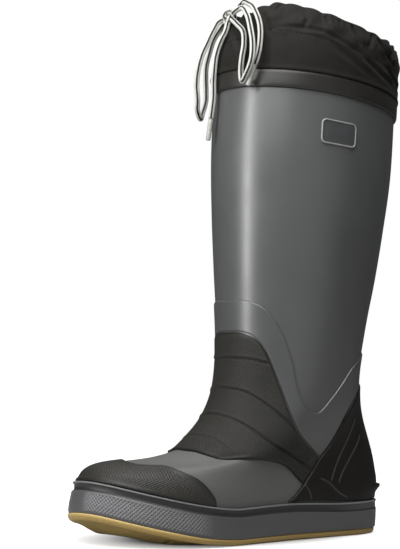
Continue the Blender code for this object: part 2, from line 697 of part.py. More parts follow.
def add_band(root):
    """Rubber band round the shaft's top."""
    levels = (BAND_LEVEL, len(RINGS) - 1)
    seat = np.full(COLUMNS, CLEARANCE)
    face = seat + BAND_THICKNESS
    rings = [offset_surface(ANGLES, level, face) for level in levels]
    rings += [offset_surface(ANGLES, level, seat) for level in reversed(levels)]
    add_rings("collar_band", rings, RUBBER_BLACK, root, capped=False)


def cuff_ring(share, step):
    """Ring of the cuff at a share of its height, stepped outwards, with its gathers."""
    turn = np.radians(ANGLES)
    front_x, front_z, back_x, back_z, half_width = RINGS[-1][:5]
    front_share = (1 + np.cos(turn)) / 2
    draw = (CUFF_BACK_DRAW + (CUFF_FRONT_DRAW - CUFF_BACK_DRAW) * front_share) * share**CUFF_DRAW_POWER
    fold = CUFF_FOLD_DEPTH * share**CUFF_FOLD_POWER * np.cos(CUFF_FOLDS * turn)
    grow = step - draw + fold
    middle = (front_x + back_x) / 2 - CUFF_LEAN_BACK * share**CUFF_FOLD_POWER
    x = middle + ((front_x - back_x) / 2 + grow) * np.cos(turn)
    y = (half_width + grow) * np.sin(turn)
    front = front_z + CLEARANCE + (CUFF_FRONT_TOP - front_z) * share
    back = back_z + CLEARANCE + (CUFF_BACK_TOP - back_z) * share
    from_front = (ANGLES + 180.0) % 360.0 - 180.0
    dip = CUFF_FRONT_DIP * share * np.exp(-((from_front / CUFF_DIP_ANGLE) ** 2))
    slope = front_share + (front_share**CUFF_TOP_POWER - front_share) * share
    z = back + (front - back) * slope + fold * share / 2 - dip
    return np.column_stack((x, y, z))


def add_cuff(root):
    """Gathered nylon cuff standing on the shaft's top edge."""
    rings = [cuff_ring(share, CUFF_OVERHANG) for share in CUFF_SHARES]
    rings += [cuff_ring(share, CUFF_OVERHANG - CUFF_WALL) for share in reversed(CUFF_SHARES)]
    add_rings("cuff", rings, NYLON_BLACK, root, capped=False)


def add_tube(name, points, diameter, finish, root):
    """Round tube with flat ends along points in millimetres."""
    curve = bpy.data.curves.new(name, "CURVE")
    curve.dimensions = "3D"
    curve.bevel_depth = diameter / 2 * MM
    curve.bevel_resolution = 2
    curve.use_fill_caps = True
    spline = curve.splines.new("POLY")
    spline.points.add(len(points) - 1)
    for place, point in zip(spline.points, points):
        place.co = (*(np.asarray(point) * MM), 1.0)
    curve.materials.append(material(*finish))
    tube = bpy.data.objects.new(name, curve)
    bpy.context.scene.collection.objects.link(tube)
    tube.parent = root


def route(points):
    """Points at about the cord's spacing on a smooth curve through a route's own points."""
    points = np.asarray(points, float)
    reach = run_along(points)
    at = np.linspace(0, reach[-1], round(reach[-1] / CORD_SPACING) + 1)
    return np.column_stack([smooth(reach, points[:, axis], at) for axis in range(3)])


def add_cord(root):
    """Drawcord: the knot, two loops and two ends, each end with its aglet."""
    knot = np.array(CORD_KNOT)

    def leave_knot(point):
        """Place on the knot's outside on the straight way to a point."""
        out = np.asarray(point, float) - knot
        return knot + out / np.linalg.norm(out) * (KNOT_RADIUS + CLEARANCE)

    for name, points in CORD_LOOPS.items():
        line = route((leave_knot(points[0]), *points, leave_knot(points[-1])))
        add_tube(name, line, CORD_DIAMETER, CORD_WHITE, root)
    for name, points in CORD_ENDS.items():
        line = route((leave_knot(points[0]), *points))
        add_tube(name, line, CORD_DIAMETER, CORD_WHITE, root)
        tail = line[-1] - line[-2]
        tail /= np.linalg.norm(tail)
        aglet = line[-1] + tail * CLEARANCE
        tip = (aglet, aglet + tail * AGLET_LENGTH)
        add_tube(name.replace("end", "aglet"), tip, AGLET_DIAMETER, AGLET_CLEAR, root)

    ball = bmesh.new()
    bmesh.ops.create_uvsphere(ball, u_segments=12, v_segments=8, radius=KNOT_RADIUS)
    points = [knot + np.array(v.co) for v in ball.verts]
    faces = [tuple(v.index for v in f.verts) for f in ball.faces]
    ball.free()
    add_solid("cord_knot", points, faces, CORD_WHITE, root)


def stand_on_floor(root):
    """Turn the sole level and put the middle of the boot's box, without the drawcord, over the origin."""
    turn = Matrix.Rotation(FLOOR_TILT, 3, "Y")
    corners = []
    for solid in root.children:
        if solid.type == "MESH" and not solid.hide_render and not solid.name.startswith("cord"):
            corners += [turn @ v.co for v in solid.data.vertices]
    low = np.min(corners, axis=0)
    high = np.max(corners, axis=0)
    root.rotation_euler = turn.to_euler()
    root.location = (-(low[0] + high[0]) / 2, -(low[1] + high[1]) / 2, -low[2])


def main():
    for old in list(bpy.data.objects):
        bpy.data.objects.remove(old, do_unlink=True)
    root = bpy.data.objects.new("sailing_boot", None)
    bpy.context.scene.collection.objects.link(root)
    add_sole(root)
    add_upper(root)
    add_overlays(root)
    add_spur(root)
    add_band(root)
    add_cuff(root)
    add_cord(root)
    stand_on_floor(root)


main()
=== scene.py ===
"""Sailing boot for the left foot: fine meshes, finishes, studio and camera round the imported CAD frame.

Lengths are millimetres in the last's own frame, as in the part's source: +X to the toe, +Y to the
wearer's left (the boot's outer side) and +Z up. Stance turns them into the frame's metres, in which the
sole stands level. Angles are degrees: 0 at the toe, 90 on the outer side and 180 at the heel. A level
is a place between two rows of the last's sections, counted from the upper's bottom edge.
"""

import logging
import math
from collections.abc import Callable, Sequence
from dataclasses import dataclass, field
from enum import Enum
from functools import cached_property
from typing import Any, NamedTuple

import bmesh
import bpy
import numpy as np
from mathutils import Matrix, Vector
from mathutils.kdtree import KDTree


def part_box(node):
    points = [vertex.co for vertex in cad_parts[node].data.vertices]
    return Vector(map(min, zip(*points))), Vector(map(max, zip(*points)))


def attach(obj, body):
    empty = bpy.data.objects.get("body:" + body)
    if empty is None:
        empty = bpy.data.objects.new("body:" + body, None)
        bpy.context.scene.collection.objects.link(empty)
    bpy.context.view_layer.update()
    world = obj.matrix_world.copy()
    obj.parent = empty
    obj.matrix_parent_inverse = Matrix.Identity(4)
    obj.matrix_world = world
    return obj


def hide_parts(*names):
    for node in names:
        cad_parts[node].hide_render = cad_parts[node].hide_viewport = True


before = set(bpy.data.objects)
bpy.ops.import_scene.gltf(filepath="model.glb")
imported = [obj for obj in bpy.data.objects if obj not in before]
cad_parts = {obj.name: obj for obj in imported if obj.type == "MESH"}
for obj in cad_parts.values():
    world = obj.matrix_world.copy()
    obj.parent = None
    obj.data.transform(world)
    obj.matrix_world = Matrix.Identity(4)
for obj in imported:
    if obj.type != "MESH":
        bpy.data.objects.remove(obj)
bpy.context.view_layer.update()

LOG = logging.getLogger("sailing_boot")
MM = 0.001
# Gap in millimetres between neighbouring pieces, as in the part's source
CLEARANCE = 0.3
# Points this close, in metres, become one, and shorter edges are taken out
WELD = 1e-6
SHORTEST = 1e-7
# Names of a mesh's flat map in millimetres and of its points' distance from the piece's border
CHART = "chart"
BORDER = "border"
# Distance that is given where a piece's border has no look of its own
NO_BORDER = 99.0
Array = np.ndarray
Span = tuple[float, float]
Edge = tuple[Span, ...]
Wave = tuple[float, float, float]
Bump = tuple[float, float, float]
Route = tuple[tuple[float, float, float], ...]
Socket = bpy.types.NodeSocket
Piece = bpy.types.Object


def smooth(places: Sequence[float], values: Sequence[float], at: Any) -> Array:
    """Cubic curve through values given at places.

    Args:
        places: Rising places of the values.
        values: Values that the curve passes through.
        at: Places to read the curve at.

    Returns:
        The curve's value at each place.
    """
    places = np.asarray(places, float)
    values = np.asarray(values, float)
    gaps = np.diff(places)
    slopes = np.diff(values) / gaps
    tangents = np.empty_like(values)
    tangents[1:-1] = (slopes[1:] * gaps[:-1] + slopes[:-1] * gaps[1:]) / (gaps[:-1] + gaps[1:])
    tangents[0] = slopes[0]
    tangents[-1] = slopes[-1]
    at = np.clip(np.asarray(at, float), places[0], places[-1])
    k = np.clip(np.searchsorted(places, at, side="right") - 1, 0, len(places) - 2)
    gap = gaps[k]
    t = (at - places[k]) / gap
    start = (2 * t**3 - 3 * t**2 + 1) * values[k] + (t**3 - 2 * t**2 + t) * gap * tangents[k]
    end = (3 * t**2 - 2 * t**3) * values[k + 1] + (t**3 - t**2) * gap * tangents[k + 1]
    return start + end


def ease(low: float, high: float, at: Any) -> Array:
    """Smooth step from 0 at low to 1 at high."""
    t = np.clip((np.asarray(at, float) - low) / (high - low), 0, 1)
    return t * t * (3 - 2 * t)


def hump(at: Any, middle: float, width: float) -> Array:
    """Soft bump, 1 high at its middle and about a third as high a width away."""
    return np.exp(-(((np.asarray(at, float) - middle) / width) ** 2))


def run_along(points: Array) -> Array:
    """Distance of each point from the first, along the line through them."""
    return np.concatenate(([0], np.cumsum(np.linalg.norm(np.diff(points, axis=0), axis=1))))


def waves(turn: Array, parts: Sequence[Wave]) -> Array:
    """Sum of sine waves round the boot, from each one's size, number round the boot and phase."""
    return sum(size * np.sin(count * turn + phase) for size, count, phase in parts)


def fold(angle: Any) -> Array:
    """Angle from the toe on either side, 0 to 180."""
    return np.abs((np.asarray(angle, float) + 180) % 360 - 180)


def linear(colour: str) -> tuple[float, float, float, float]:
    """Turn an sRGB colour into a linear one.

    Args:
        colour: Six hex digits after a hash.

    Returns:
        Red, green, blue and an alpha of 1.
    """
    shares = [int(colour[k:k + 2], 16) / 255 for k in (1, 3, 5)]
    red, green, blue = (s / 12.92 if s <= 0.04045 else ((s + 0.055) / 1.055) ** 2.4 for s in shares)
    return red, green, blue, 1.0


def add_node(tree: bpy.types.NodeTree, kind: str, settings: dict, links: dict) -> bpy.types.Node:
    """Add one node with its settings and links.

    Args:
        tree: Tree that gets the node.
        kind: Blender's name of the node's type.
        settings: Values by the name of a property, or by the name or number of a socket.
        links: Output sockets by the name or number of the input that each one feeds.

    Returns:
        The new node.
    """
    node = tree.nodes.new(kind)
    for name, value in settings.items():
        if isinstance(name, str) and hasattr(node, name):
            setattr(node, name, value)
        else:
            node.inputs[name].default_value = value
    for name, source in links.items():
        tree.links.new(source, node.inputs[name])
    return node


def crossed_bands(tree: bpy.types.NodeTree, pitch_mm: float) -> tuple[Socket, Socket, Socket]:
    """Add bands that lean both ways over the flat map.

    Args:
        tree: Tree that gets the nodes.
        pitch_mm: Distance between two bands along either side of the map.

    Returns:
        The flat map, and the bands that lean one way and the other.
    """
    chart = add_node(tree, "ShaderNodeUVMap", {"uv_map": CHART}, {}).outputs["UV"]
    other = add_node(tree, "ShaderNodeMapping", {"Scale": (-1.0, 1.0, 1.0)}, {"Vector": chart})
    # A wave texture's diagonal bands repeat every 2 pi / (10 x scale).
    bands = {"bands_direction": "DIAGONAL", "Scale": math.tau / (10 * pitch_mm)}
    left, right = (add_node(tree, "ShaderNodeTexWave", bands, {"Vector": way}).outputs["Fac"]
                   for way in (chart, other.outputs["Vector"]))
    return chart, left, right


class PlanRow(NamedTuple):
    """Foot's plan at a place: -1 heel to 1 toe, centre line, and width as a share of an ellipse."""

    along: float
    centre: float
    width: float


class Section(NamedTuple):
    """One ring of the last: front and back in % of its length, half width in % of the ball's width.

    A rise is 0 on the floor, 100 at the instep and 200 at the shaft's top. Leg is 0 where the ring follows
    the foot's plan and 1 where it is an ellipse. Tilt is 0 where it follows the sole and 1 where it is flat.
    """

    front: float
    front_rise: float
    back: float
    back_rise: float
    width: float
    leg: float
    tilt: float


class SideRow(NamedTuple):
    """Row of the sole's side: height, step out at the toe and at the heel, and height at the heel."""

    height: float
    toe: float
    heel: float
    heel_height: float | None = None


SideRows = tuple[SideRow, ...]
PLAN = tuple(PlanRow(*row) for row in (
    (-1.00, 3.0, 2.00),
    (-0.90, 3.0, 1.45),
    (-0.75, 3.0, 1.09),
    (-0.45, 3.5, 0.80),
    (-0.05, 3.5, 0.77),
    (0.30, 1.5, 0.97),
    (0.55, -1.5, 1.12),
    (0.80, -6.0, 1.25),
    (1.00, -10.0, 1.38),
))
SECTIONS = tuple(Section(*row) for row in (
    (48.6, 61.1, -49.8, 35.8, 51.8, 0.00, 0.00),
    (47.1, 65.3, -50.2, 44.2, 50.8, 0.03, 0.00),
    (43.8, 67.9, -50.0, 53.7, 49.2, 0.08, 0.05),
    (38.3, 68.4, -49.5, 64.2, 48.2, 0.15, 0.20),
    (31.8, 65.6, -48.7, 74.7, 47.7, 0.26, 0.40),
    (25.3, 66.2, -47.8, 85.3, 47.7, 0.40, 0.60),
    (19.1, 71.6, -46.9, 95.8, 48.2, 0.55, 0.80),
    (13.4, 84.2, -46.2, 102.1, 49.2, 0.70, 0.95),
    (8.1, 100.0, -45.8, 105.7, 50.3, 0.84, 1.00),
    (4.3, 106.7, -45.8, 109.8, 51.3, 0.95, 1.00),
    (2.5, 114.4, -46.2, 114.8, 52.8, 1.00, 1.00),
    (2.0, 123.0, -47.5, 121.6, 54.9, 1.00, 1.00),
    (2.2, 132.6, -49.5, 130.2, 57.4, 1.00, 1.00),
    (2.7, 144.7, -52.3, 140.9, 61.0, 1.00, 1.00),
    (3.1, 160.1, -55.4, 155.3, 65.1, 1.00, 1.00),
    (3.1, 177.3, -58.5, 171.8, 68.2, 1.00, 1.00),
    (1.8, 200.0, -60.3, 193.6, 70.0, 1.00, 1.00),
))


@dataclass(frozen=True)
class Last:
    """The ring surface that every piece of the boot is built on."""

    length: float = 277.0
    ball_width: float = 97.5
    instep_height: float = 95.0
    shaft_height: float = 386.0
    footbed_height: float = 14.0
    rim_height: float = 27.0
    sole_height: float = 28.5
    toe_spring: float = 27.0
    ball_rise: float = 2.2
    heel_lift: float = 4.5
    spring_start: float = 28.0
    spring_power: float = 1.4
    toe_depth: float = 1.1
    toe_corner_drop: float = 3.0
    toe_corner_depth: float = 1.7
    heel_tuck: float = 2.0
    # Stretches of x, y, level or angle over which a form comes in
    toe_corner_x: Span = (90.0, 130.0)
    toe_corner_y: Span = (20.0, -40.0)
    toe_corner_levels: Span = (1.0, 5.0)
    toe_depth_x: Span = (30.0, 70.0)
    heel_drop_angles: Span = (96.0, 134.0)

    @cached_property
    def flat_length(self) -> float:
        """Length of the sole that lies level, from the heel to the ball."""
        return self.spring_start + self.length / 2

    @cached_property
    def floor_tilt(self) -> float:
        """Angle in radians that stands the sole level."""
        return math.atan((self.ball_rise + self.heel_lift) / self.flat_length)

    @cached_property
    def rings(self) -> Array:
        """Rings that the surface passes through.

        Returns:
            Front x and z, back x and z, half width, leg and tilt of each ring.
        """
        half = self.length / 2
        width = SECTIONS[0].width * self.ball_width / 100
        edges = (self.footbed_height + CLEARANCE, self.rim_height)
        rows = [(half, z + self.toe_spring, self.heel_tuck - half, z, width, 0.0, 0.0) for z in edges]
        heights = (0.0, self.instep_height, self.shaft_height)
        for s in SECTIONS:
            front_z, back_z = np.interp((s.front_rise, s.back_rise), (0, 100, 200), heights)
            rows.append((s.front * self.length / 100, front_z, s.back * self.length / 100, back_z,
                         s.width * self.ball_width / 100, s.leg, s.tilt))
        return np.array(rows)

    @property
    def top_level(self) -> int:
        """Level of the shaft's top edge."""
        return len(self.rings) - 1

    def heel_share(self, x: Any) -> Array:
        """Share of the way from the ball, 0, back to the heel, 1."""
        return np.clip((self.spring_start - np.asarray(x, float)) / self.flat_length, 0, None)

    def spring(self, x: Any) -> Array:
        """Rise of the last's bottom over its heel.

        Args:
            x: Places along the boot.

        Returns:
            Rises at those places.
        """
        reach = (np.asarray(x, float) - self.spring_start) / (self.length / 2 - self.spring_start)
        lift = (self.toe_spring - self.ball_rise) * np.clip(reach, 0, None) ** self.spring_power
        return self.ball_rise * (1 - self.heel_share(x)) + lift

    def toe_corner(self, x: Any, y: Any) -> Array:
        """Share of the toe's low inner corner at a place: 0 off it, 1 at its tip."""
        return ease(*self.toe_corner_x, x) * ease(*self.toe_corner_y, y)

    def rise(self, x: Any, y: Any) -> Array:
        """Rise of the last's bottom at a place, less at the toe's inner corner."""
        return self.spring(x) - self.toe_corner_drop * self.toe_corner(x, y)

    def extra_depth(self, x: Any, y: Any) -> Array:
        """Depth of the sole below the last's spring, more at the heel, the toe and its inner corner."""
        corner = self.toe_corner_depth * self.toe_corner(x, y)
        return self.heel_lift * self.heel_share(x) + self.toe_depth * ease(*self.toe_depth_x, x) + corner

    def surface(self, angle: Any, level: Any) -> Array:
        """Points of the upper's outside.

        Args:
            angle: Angles round the boot.
            level: Levels, of a shape that fits the angles.

        Returns:
            Points, with x, y and z on the last axis.
        """
        angle, level = np.broadcast_arrays(np.radians(angle), np.asarray(level, float))
        numbers = np.arange(len(self.rings))
        front_x, front_z, back_x, back_z, width, leg, tilt = (
            smooth(numbers, column, level) for column in self.rings.T)
        along = np.cos(angle)
        plan = np.array(PLAN).T
        centre = smooth(plan[0], plan[1], along)
        spread = smooth(plan[0], plan[2], along)
        x = (front_x + back_x) / 2 + (front_x - back_x) / 2 * along
        y = (1 - leg) * centre + width * ((1 - leg) * spread + leg) * np.sin(angle)
        sole_rise = self.spring(along * self.length / 2) / self.toe_spring
        z = back_z + (front_z - back_z) * ((1 - tilt) * sole_rise + tilt * (along + 1) / 2)
        z = z - self.toe_corner_drop * self.toe_corner(x, y) * (1 - ease(*self.toe_corner_levels, level))
        return np.stack((x, y, z), -1)

    def normals(self, angle: Any, level: Any) -> Array:
        """Outward unit normals of the upper's outside.

        Args:
            angle: Angles round the boot.
            level: Levels, of a shape that fits the angles.

        Returns:
            Unit vectors, with x, y and z on the last axis.
        """
        step = 0.02
        around = self.surface(np.add(angle, step), level) - self.surface(np.subtract(angle, step), level)
        above = np.minimum(np.add(level, step), self.top_level)
        below = np.maximum(np.subtract(level, step), 0)
        n = np.cross(around, self.surface(angle, above) - self.surface(angle, below))
        return n / np.linalg.norm(n, axis=-1, keepdims=True)

    def offset(self, angle: Any, level: Any, distance: Any) -> Array:
        """Points of the upper's outside moved out by distances, one for all or one for each point."""
        moved = self.normals(angle, level) * np.asarray(distance, float)[..., None]
        return self.surface(angle, level) + moved

    def sole_ring(self, angles: Array, height: Any, step: Any) -> Array:
        """Ring of the sole at a height over the last's bottom.

        Args:
            angles: Angles round the boot.
            height: Height over the last's bottom, one for all or one for each angle.
            step: Distance out from the upper's rim, one for all or one for each angle.

        Returns:
            Points in the order of the angles.
        """
        rim = self.surface(angles, 1.0)
        out = self.normals(angles, 0.5)
        plan = rim[:, :2] + out[:, :2] * np.broadcast_to(step, angles.shape)[:, None]
        return np.column_stack((plan, height + self.rise(plan[:, 0], plan[:, 1])))

    def side_heights(self, angles: Array, row: SideRow) -> Array:
        """Height of a ring of the sole's side at each angle, lower behind the arch."""
        at_heel = row.height if row.heel_height is None else row.heel_height
        return row.height + (at_heel - row.height) * ease(*self.heel_drop_angles, fold(angles))

    def side_ring(self, angles: Array, row: SideRow, raise_by: Any = 0.0) -> Array:
        """Ring of the sole's side, lower where the sole is thicker.

        Args:
            angles: Angles round the boot.
            row: Height and steps of the ring.
            raise_by: Relief outwards, one for all or one for each angle.

        Returns:
            Points in the order of the angles.
        """
        toe_share = (1 + np.cos(np.radians(angles))) / 2
        step = row.heel + (row.toe - row.heel) * toe_share + raise_by
        height = self.side_heights(angles, row)
        ring = self.sole_ring(angles, height, step)
        ring[:, 2] -= self.extra_depth(ring[:, 0], ring[:, 1]) * (1 - height / self.sole_height)
        return ring

    def flat(self, points: Array) -> Array:
        """Angles and levels as a flat map in about millimetres."""
        heights = self.surface(90.0, np.arange(len(self.rings)))[:, 2]
        return np.column_stack((points[:, 0], np.interp(points[:, 1], np.arange(len(heights)), heights)))

    def curve(self, edge: Edge, steps: int) -> Array:
        """Smooth curve through angles and levels.

        Args:
            edge: Points of the curve.
            steps: Pieces between each two points.

        Returns:
            Angles and levels in two columns.
        """
        points = np.asarray(edge, float)
        if len(points) < 3:
            return points[0] + (points[-1] - points[0]) * np.linspace(0, 1, steps + 1)[:, None]
        reach = run_along(self.flat(points))
        at = np.interp(np.arange((len(points) - 1) * steps + 1) / steps, np.arange(len(points)), reach)
        return np.column_stack((smooth(reach, points[:, 0], at), smooth(reach, points[:, 1], at)))


@dataclass(frozen=True)
class Stance:
    """How the last stands in the frame: turned about Y, then shifted."""

    tilt: float
    shift: Array

    @classmethod
    def from_frame(cls, tilt: float, node: str, centre: Sequence[float]) -> "Stance":
        """Find the shift from a CAD node.

        Args:
            tilt: Turn about Y in radians.
            node: Node whose box shows where the last stands.
            centre: The node's middle in the last's frame.

        Returns:
            The stance that puts that middle in the middle of the node's box.
        """
        low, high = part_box(node)
        bare = cls(tilt, np.zeros(3))
        return cls(tilt, np.array((low + high) / 2) - bare.place(np.array(centre)))

    @cached_property
    def turn(self) -> Array:
        """Rotation matrix from the last's frame."""
        return np.array(Matrix.Rotation(self.tilt, 3, "Y"))

    def place(self, points: Array) -> Array:
        """Points in the frame's metres."""
        return np.asarray(points, float) @ self.turn.T * MM + self.shift

    def direct(self, direction: Sequence[float]) -> Vector:
        """Direction in the frame."""
        return Vector(self.turn @ np.asarray(direction, float))


class Skin:
    """Collects grids of points into one closed mesh with a flat map in millimetres."""

    def __init__(self) -> None:
        """Start with no points."""
        self.points: list[Array] = []
        self.faces: list[list[int]] = []
        self.charts: list[Array] = []
        self.slots: list[int] = []
        self.edges: list[Array] = []
        self.count = 0

    def grid(self, points: Array, ring: bool = False, tube: bool = False, middle: int = 0,
             straight: bool = False, slots: Array | None = None, edges: Array | None = None) -> Array:
        """Add rows of points joined by four-sided faces.

        Args:
            points: Rows by columns by x, y and z.
            ring: Whether the last column joins the first.
            tube: Whether the last row joins the first.
            middle: Column at which the flat map starts.
            straight: Whether the flat map's columns run straight up instead of keeping each row's length.
            slots: Number of the finish for each row of faces.
            edges: Distance of each point from the piece's border.

        Returns:
            Numbers of the points, rows by columns.
        """
        rows, columns = points.shape[:2]
        numbers = self.count + np.arange(rows * columns).reshape(rows, columns)
        whole, index = points, numbers
        if ring:
            whole = np.concatenate((whole, whole[:, :1]), 1)
            index = np.concatenate((index, index[:, :1]), 1)
        if tube:
            whole = np.concatenate((whole, whole[:1]), 0)
            index = np.concatenate((index, index[:1]), 0)
        across = np.pad(np.cumsum(np.linalg.norm(np.diff(whole, axis=1), axis=2), 1), ((0, 0), (1, 0)))
        along = np.pad(np.cumsum(np.linalg.norm(np.diff(whole, axis=0), axis=2), 0), ((1, 0), (0, 0)))
        if straight:
            across = np.broadcast_to(across[:rows].mean(0), across.shape)
        chart = np.stack((across - across[:, middle:middle + 1], along), -1)
        corners = (np.s_[:-1, :-1], np.s_[:-1, 1:], np.s_[1:, 1:], np.s_[1:, :-1])
        quads = np.stack([index[c] for c in corners], -1)
        self.faces += quads.reshape(-1, 4).tolist()
        self.charts.append(np.stack([chart[c] for c in corners], -2).reshape(-1, 2))
        per_row = np.zeros(quads.shape[0], int) if slots is None else np.asarray(slots)
        self.slots += np.repeat(per_row, quads.shape[1]).tolist()
        self.points.append(points.reshape(-1, 3))
        self.edges.append(np.full(rows * columns, NO_BORDER) if edges is None else edges.reshape(-1))
        self.count += rows * columns
        return numbers

    def patch(self, faces: Sequence[Sequence[int]], slot: int = 0) -> None:
        """Add faces between points that are there already, with no flat map.

        Args:
            faces: Numbers of each face's points.
            slot: Number of their finish.
        """
        self.faces += [[int(k) for k in face] for face in faces]
        self.slots += [slot] * len(faces)
        self.charts.append(np.zeros((sum(len(f) for f in faces), 2)))

    def cap(self, ring: Array, slot: int = 0) -> None:
        """Close a ring that is symmetric about its first point with strips from side to side.

        Args:
            ring: Numbers of the ring's points.
            slot: Number of the finish.
        """
        n = len(ring)
        half = n // 2
        strips = [[ring[0], ring[1], ring[-1]]]
        strips += [[ring[i], ring[i + 1], ring[n - i - 1], ring[n - i]] for i in range(1, half - 1)]
        strips.append([ring[half - 1], ring[half], ring[half + 1]])
        self.patch(strips, slot)

    def build(self, name: str, stance: Stance, finishes: Sequence["Finish"]) -> Piece:
        """Make the mesh object, its faces turned outwards.

        Args:
            name: Name of the piece.
            stance: How the last stands in the frame.
            finishes: Finishes in the order of their numbers.

        Returns:
            The piece, riding on the boot's body.
        """
        mesh = bpy.data.meshes.new(name)
        mesh.from_pydata(stance.place(np.concatenate(self.points)).tolist(), [], self.faces)
        chart = mesh.uv_layers.new(name=CHART)
        chart.data.foreach_set("uv", np.concatenate(self.charts).astype(np.float32).ravel())
        border = mesh.attributes.new(BORDER, "FLOAT", "POINT")
        border.data.foreach_set("value", np.concatenate(self.edges).astype(np.float32))
        mesh.polygons.foreach_set("material_index", self.slots)
        work = bmesh.new()
        work.from_mesh(mesh)
        bmesh.ops.remove_doubles(work, verts=work.verts[:], dist=WELD)
        bmesh.ops.dissolve_degenerate(work, edges=work.edges[:], dist=SHORTEST)
        bmesh.ops.recalc_face_normals(work, faces=work.faces[:])
        work.to_mesh(mesh)
        work.free()
        mesh.shade_smooth()
        for finish in finishes:
            mesh.materials.append(finish.make())
        piece = bpy.data.objects.new(name, mesh)
        bpy.context.scene.collection.objects.link(piece)
        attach(piece, "root")
        LOG.info("%s: %d faces", name, len(mesh.polygons))
        return piece


class Nodes(NamedTuple):
    """What a finish dresses: its material's node tree and shader, and the piece's points in metres."""

    tree: bpy.types.NodeTree
    shader: bpy.types.Node
    place: Socket


@dataclass(frozen=True)
class Finish:
    """A surface as it was made: its two colours, how rough it is and how it bends light."""

    name: str
    deep: str
    pale: str
    roughness: Span
    ior: float
    blotch_mm: float = 35.0
    # Light thrown back, next to a plain smooth surface: less where dust lies, more on a lacquered skin
    shine: float = 1.0

    def make(self) -> bpy.types.Material:
        """Make the material once and hand it out again after that.

        Returns:
            The material with the nodes of its kind.
        """
        found = bpy.data.materials.get(self.name)
        if found:
            return found
        made = bpy.data.materials.new(self.name)
        made.use_nodes = True
        tree = made.node_tree
        shader = tree.nodes["Principled BSDF"]
        shader.inputs["IOR"].default_value = self.ior
        shader.inputs["Specular IOR Level"].default_value = self.shine / 2
        place = add_node(tree, "ShaderNodeTexCoord", {}, {}).outputs["Object"]
        cloud = add_node(tree, "ShaderNodeTexNoise", {"Scale": 1 / (self.blotch_mm * MM), "Detail": 5.0,
                                                      "Roughness": 0.6}, {"Vector": place})
        gloss = {"From Min": 0.3, "From Max": 0.7, "To Min": self.roughness[0], "To Max": self.roughness[1]}
        rough = add_node(tree, "ShaderNodeMapRange", gloss, {"Value": cloud.outputs["Fac"]})
        tree.links.new(rough.outputs["Result"], shader.inputs["Roughness"])
        shades = {"data_type": "RGBA", 6: linear(self.deep), 7: linear(self.pale)}
        colour = add_node(tree, "ShaderNodeMix", shades, {0: cloud.outputs["Fac"]}).outputs[2]
        colour, normal = self.dress(Nodes(tree, shader, place), colour)
        tree.links.new(colour, shader.inputs["Base Color"])
        tree.links.new(normal, shader.inputs["Normal"])
        return made

    def dress(self, nodes: Nodes, colour: Socket) -> tuple[Socket, Socket]:
        """Add the nodes of this kind of finish.

        Args:
            nodes: The material's nodes.
            colour: Clouded colour so far.

        Returns:
            The finished colour and the normal.
        """
        raise NotImplementedError


@dataclass(frozen=True)
class MouldedRubber(Finish):
    """Natural rubber pressed in a mould: fine mould grain, a lacquer gloss, and a colour painted along its
    border, as a painted highlight on some pieces and as painted shade on others.
    """

    ior: float = 1.52
    # Colour painted along its border: paler on some finishes, as a painted highlight; darker on others, as
    # painted shade along the joint
    edge: str = "#77777a"
    edge_mm: float = 0.9
    edge_share: float = 0.5
    grain_mm: float = 0.7
    grain_depth_mm: float = 0.02
    lacquer: float = 0.0

    def dress(self, nodes: Nodes, colour: Socket) -> tuple[Socket, Socket]:
        """Add grain and the colour painted along the border.

        Args:
            nodes: The material's nodes.
            colour: Clouded colour so far.

        Returns:
            The finished colour and the normal.
        """
        tree, shader, place = nodes
        shader.inputs["Coat Weight"].default_value = self.lacquer
        shader.inputs["Coat Roughness"].default_value = 0.3
        grain = add_node(tree, "ShaderNodeTexNoise", {"Scale": 1 / (self.grain_mm * MM), "Detail": 2.0},
                         {"Vector": place})
        bump = add_node(tree, "ShaderNodeBump", {"Distance": self.grain_depth_mm * MM},
                        {"Height": grain.outputs["Fac"]})
        # Painted light along the border: the edge colour is mixed in by distance from the border, as a
        # highlight on some finishes and as shade on others
        border = add_node(tree, "ShaderNodeAttribute", {"attribute_name": BORDER}, {})
        along = {"From Max": self.edge_mm, "To Min": self.edge_share, "To Max": 0.0}
        painted_border = add_node(tree, "ShaderNodeMapRange", along, {"Value": border.outputs["Fac"]})
        edged = add_node(tree, "ShaderNodeMix", {"data_type": "RGBA", 7: linear(self.edge)},
                         {0: painted_border.outputs["Result"], 6: colour})
        return edged.outputs[2], bump.outputs["Normal"]


@dataclass(frozen=True)
class KnurledRubber(MouldedRubber):
    """Moulded rubber with a diamond knurl from the mould, plain along its border."""

    pitch_mm: float = 2.2
    knurl_depth_mm: float = 0.25
    plain_mm: Span = (1.5, 4.0)

    def dress(self, nodes: Nodes, colour: Socket) -> tuple[Socket, Socket]:
        """Add the knurl over the grain.

        Args:
            nodes: The material's nodes.
            colour: Clouded colour so far.

        Returns:
            The finished colour and the normal.
        """
        tree = nodes.tree
        colour, normal = super().dress(nodes, colour)
        _, left, right = crossed_bands(tree, self.pitch_mm)
        studs = add_node(tree, "ShaderNodeMath", {"operation": "MULTIPLY"}, {0: left, 1: right})
        border = add_node(tree, "ShaderNodeAttribute", {"attribute_name": BORDER}, {})
        shown = add_node(tree, "ShaderNodeMapRange",
                         {"From Min": self.plain_mm[0], "From Max": self.plain_mm[1]},
                         {"Value": border.outputs["Fac"]})
        knurl = add_node(tree, "ShaderNodeBump", {"Distance": self.knurl_depth_mm * MM},
                         {"Height": studs.outputs["Value"], "Strength": shown.outputs["Result"],
                          "Normal": normal})
        return colour, knurl.outputs["Normal"]


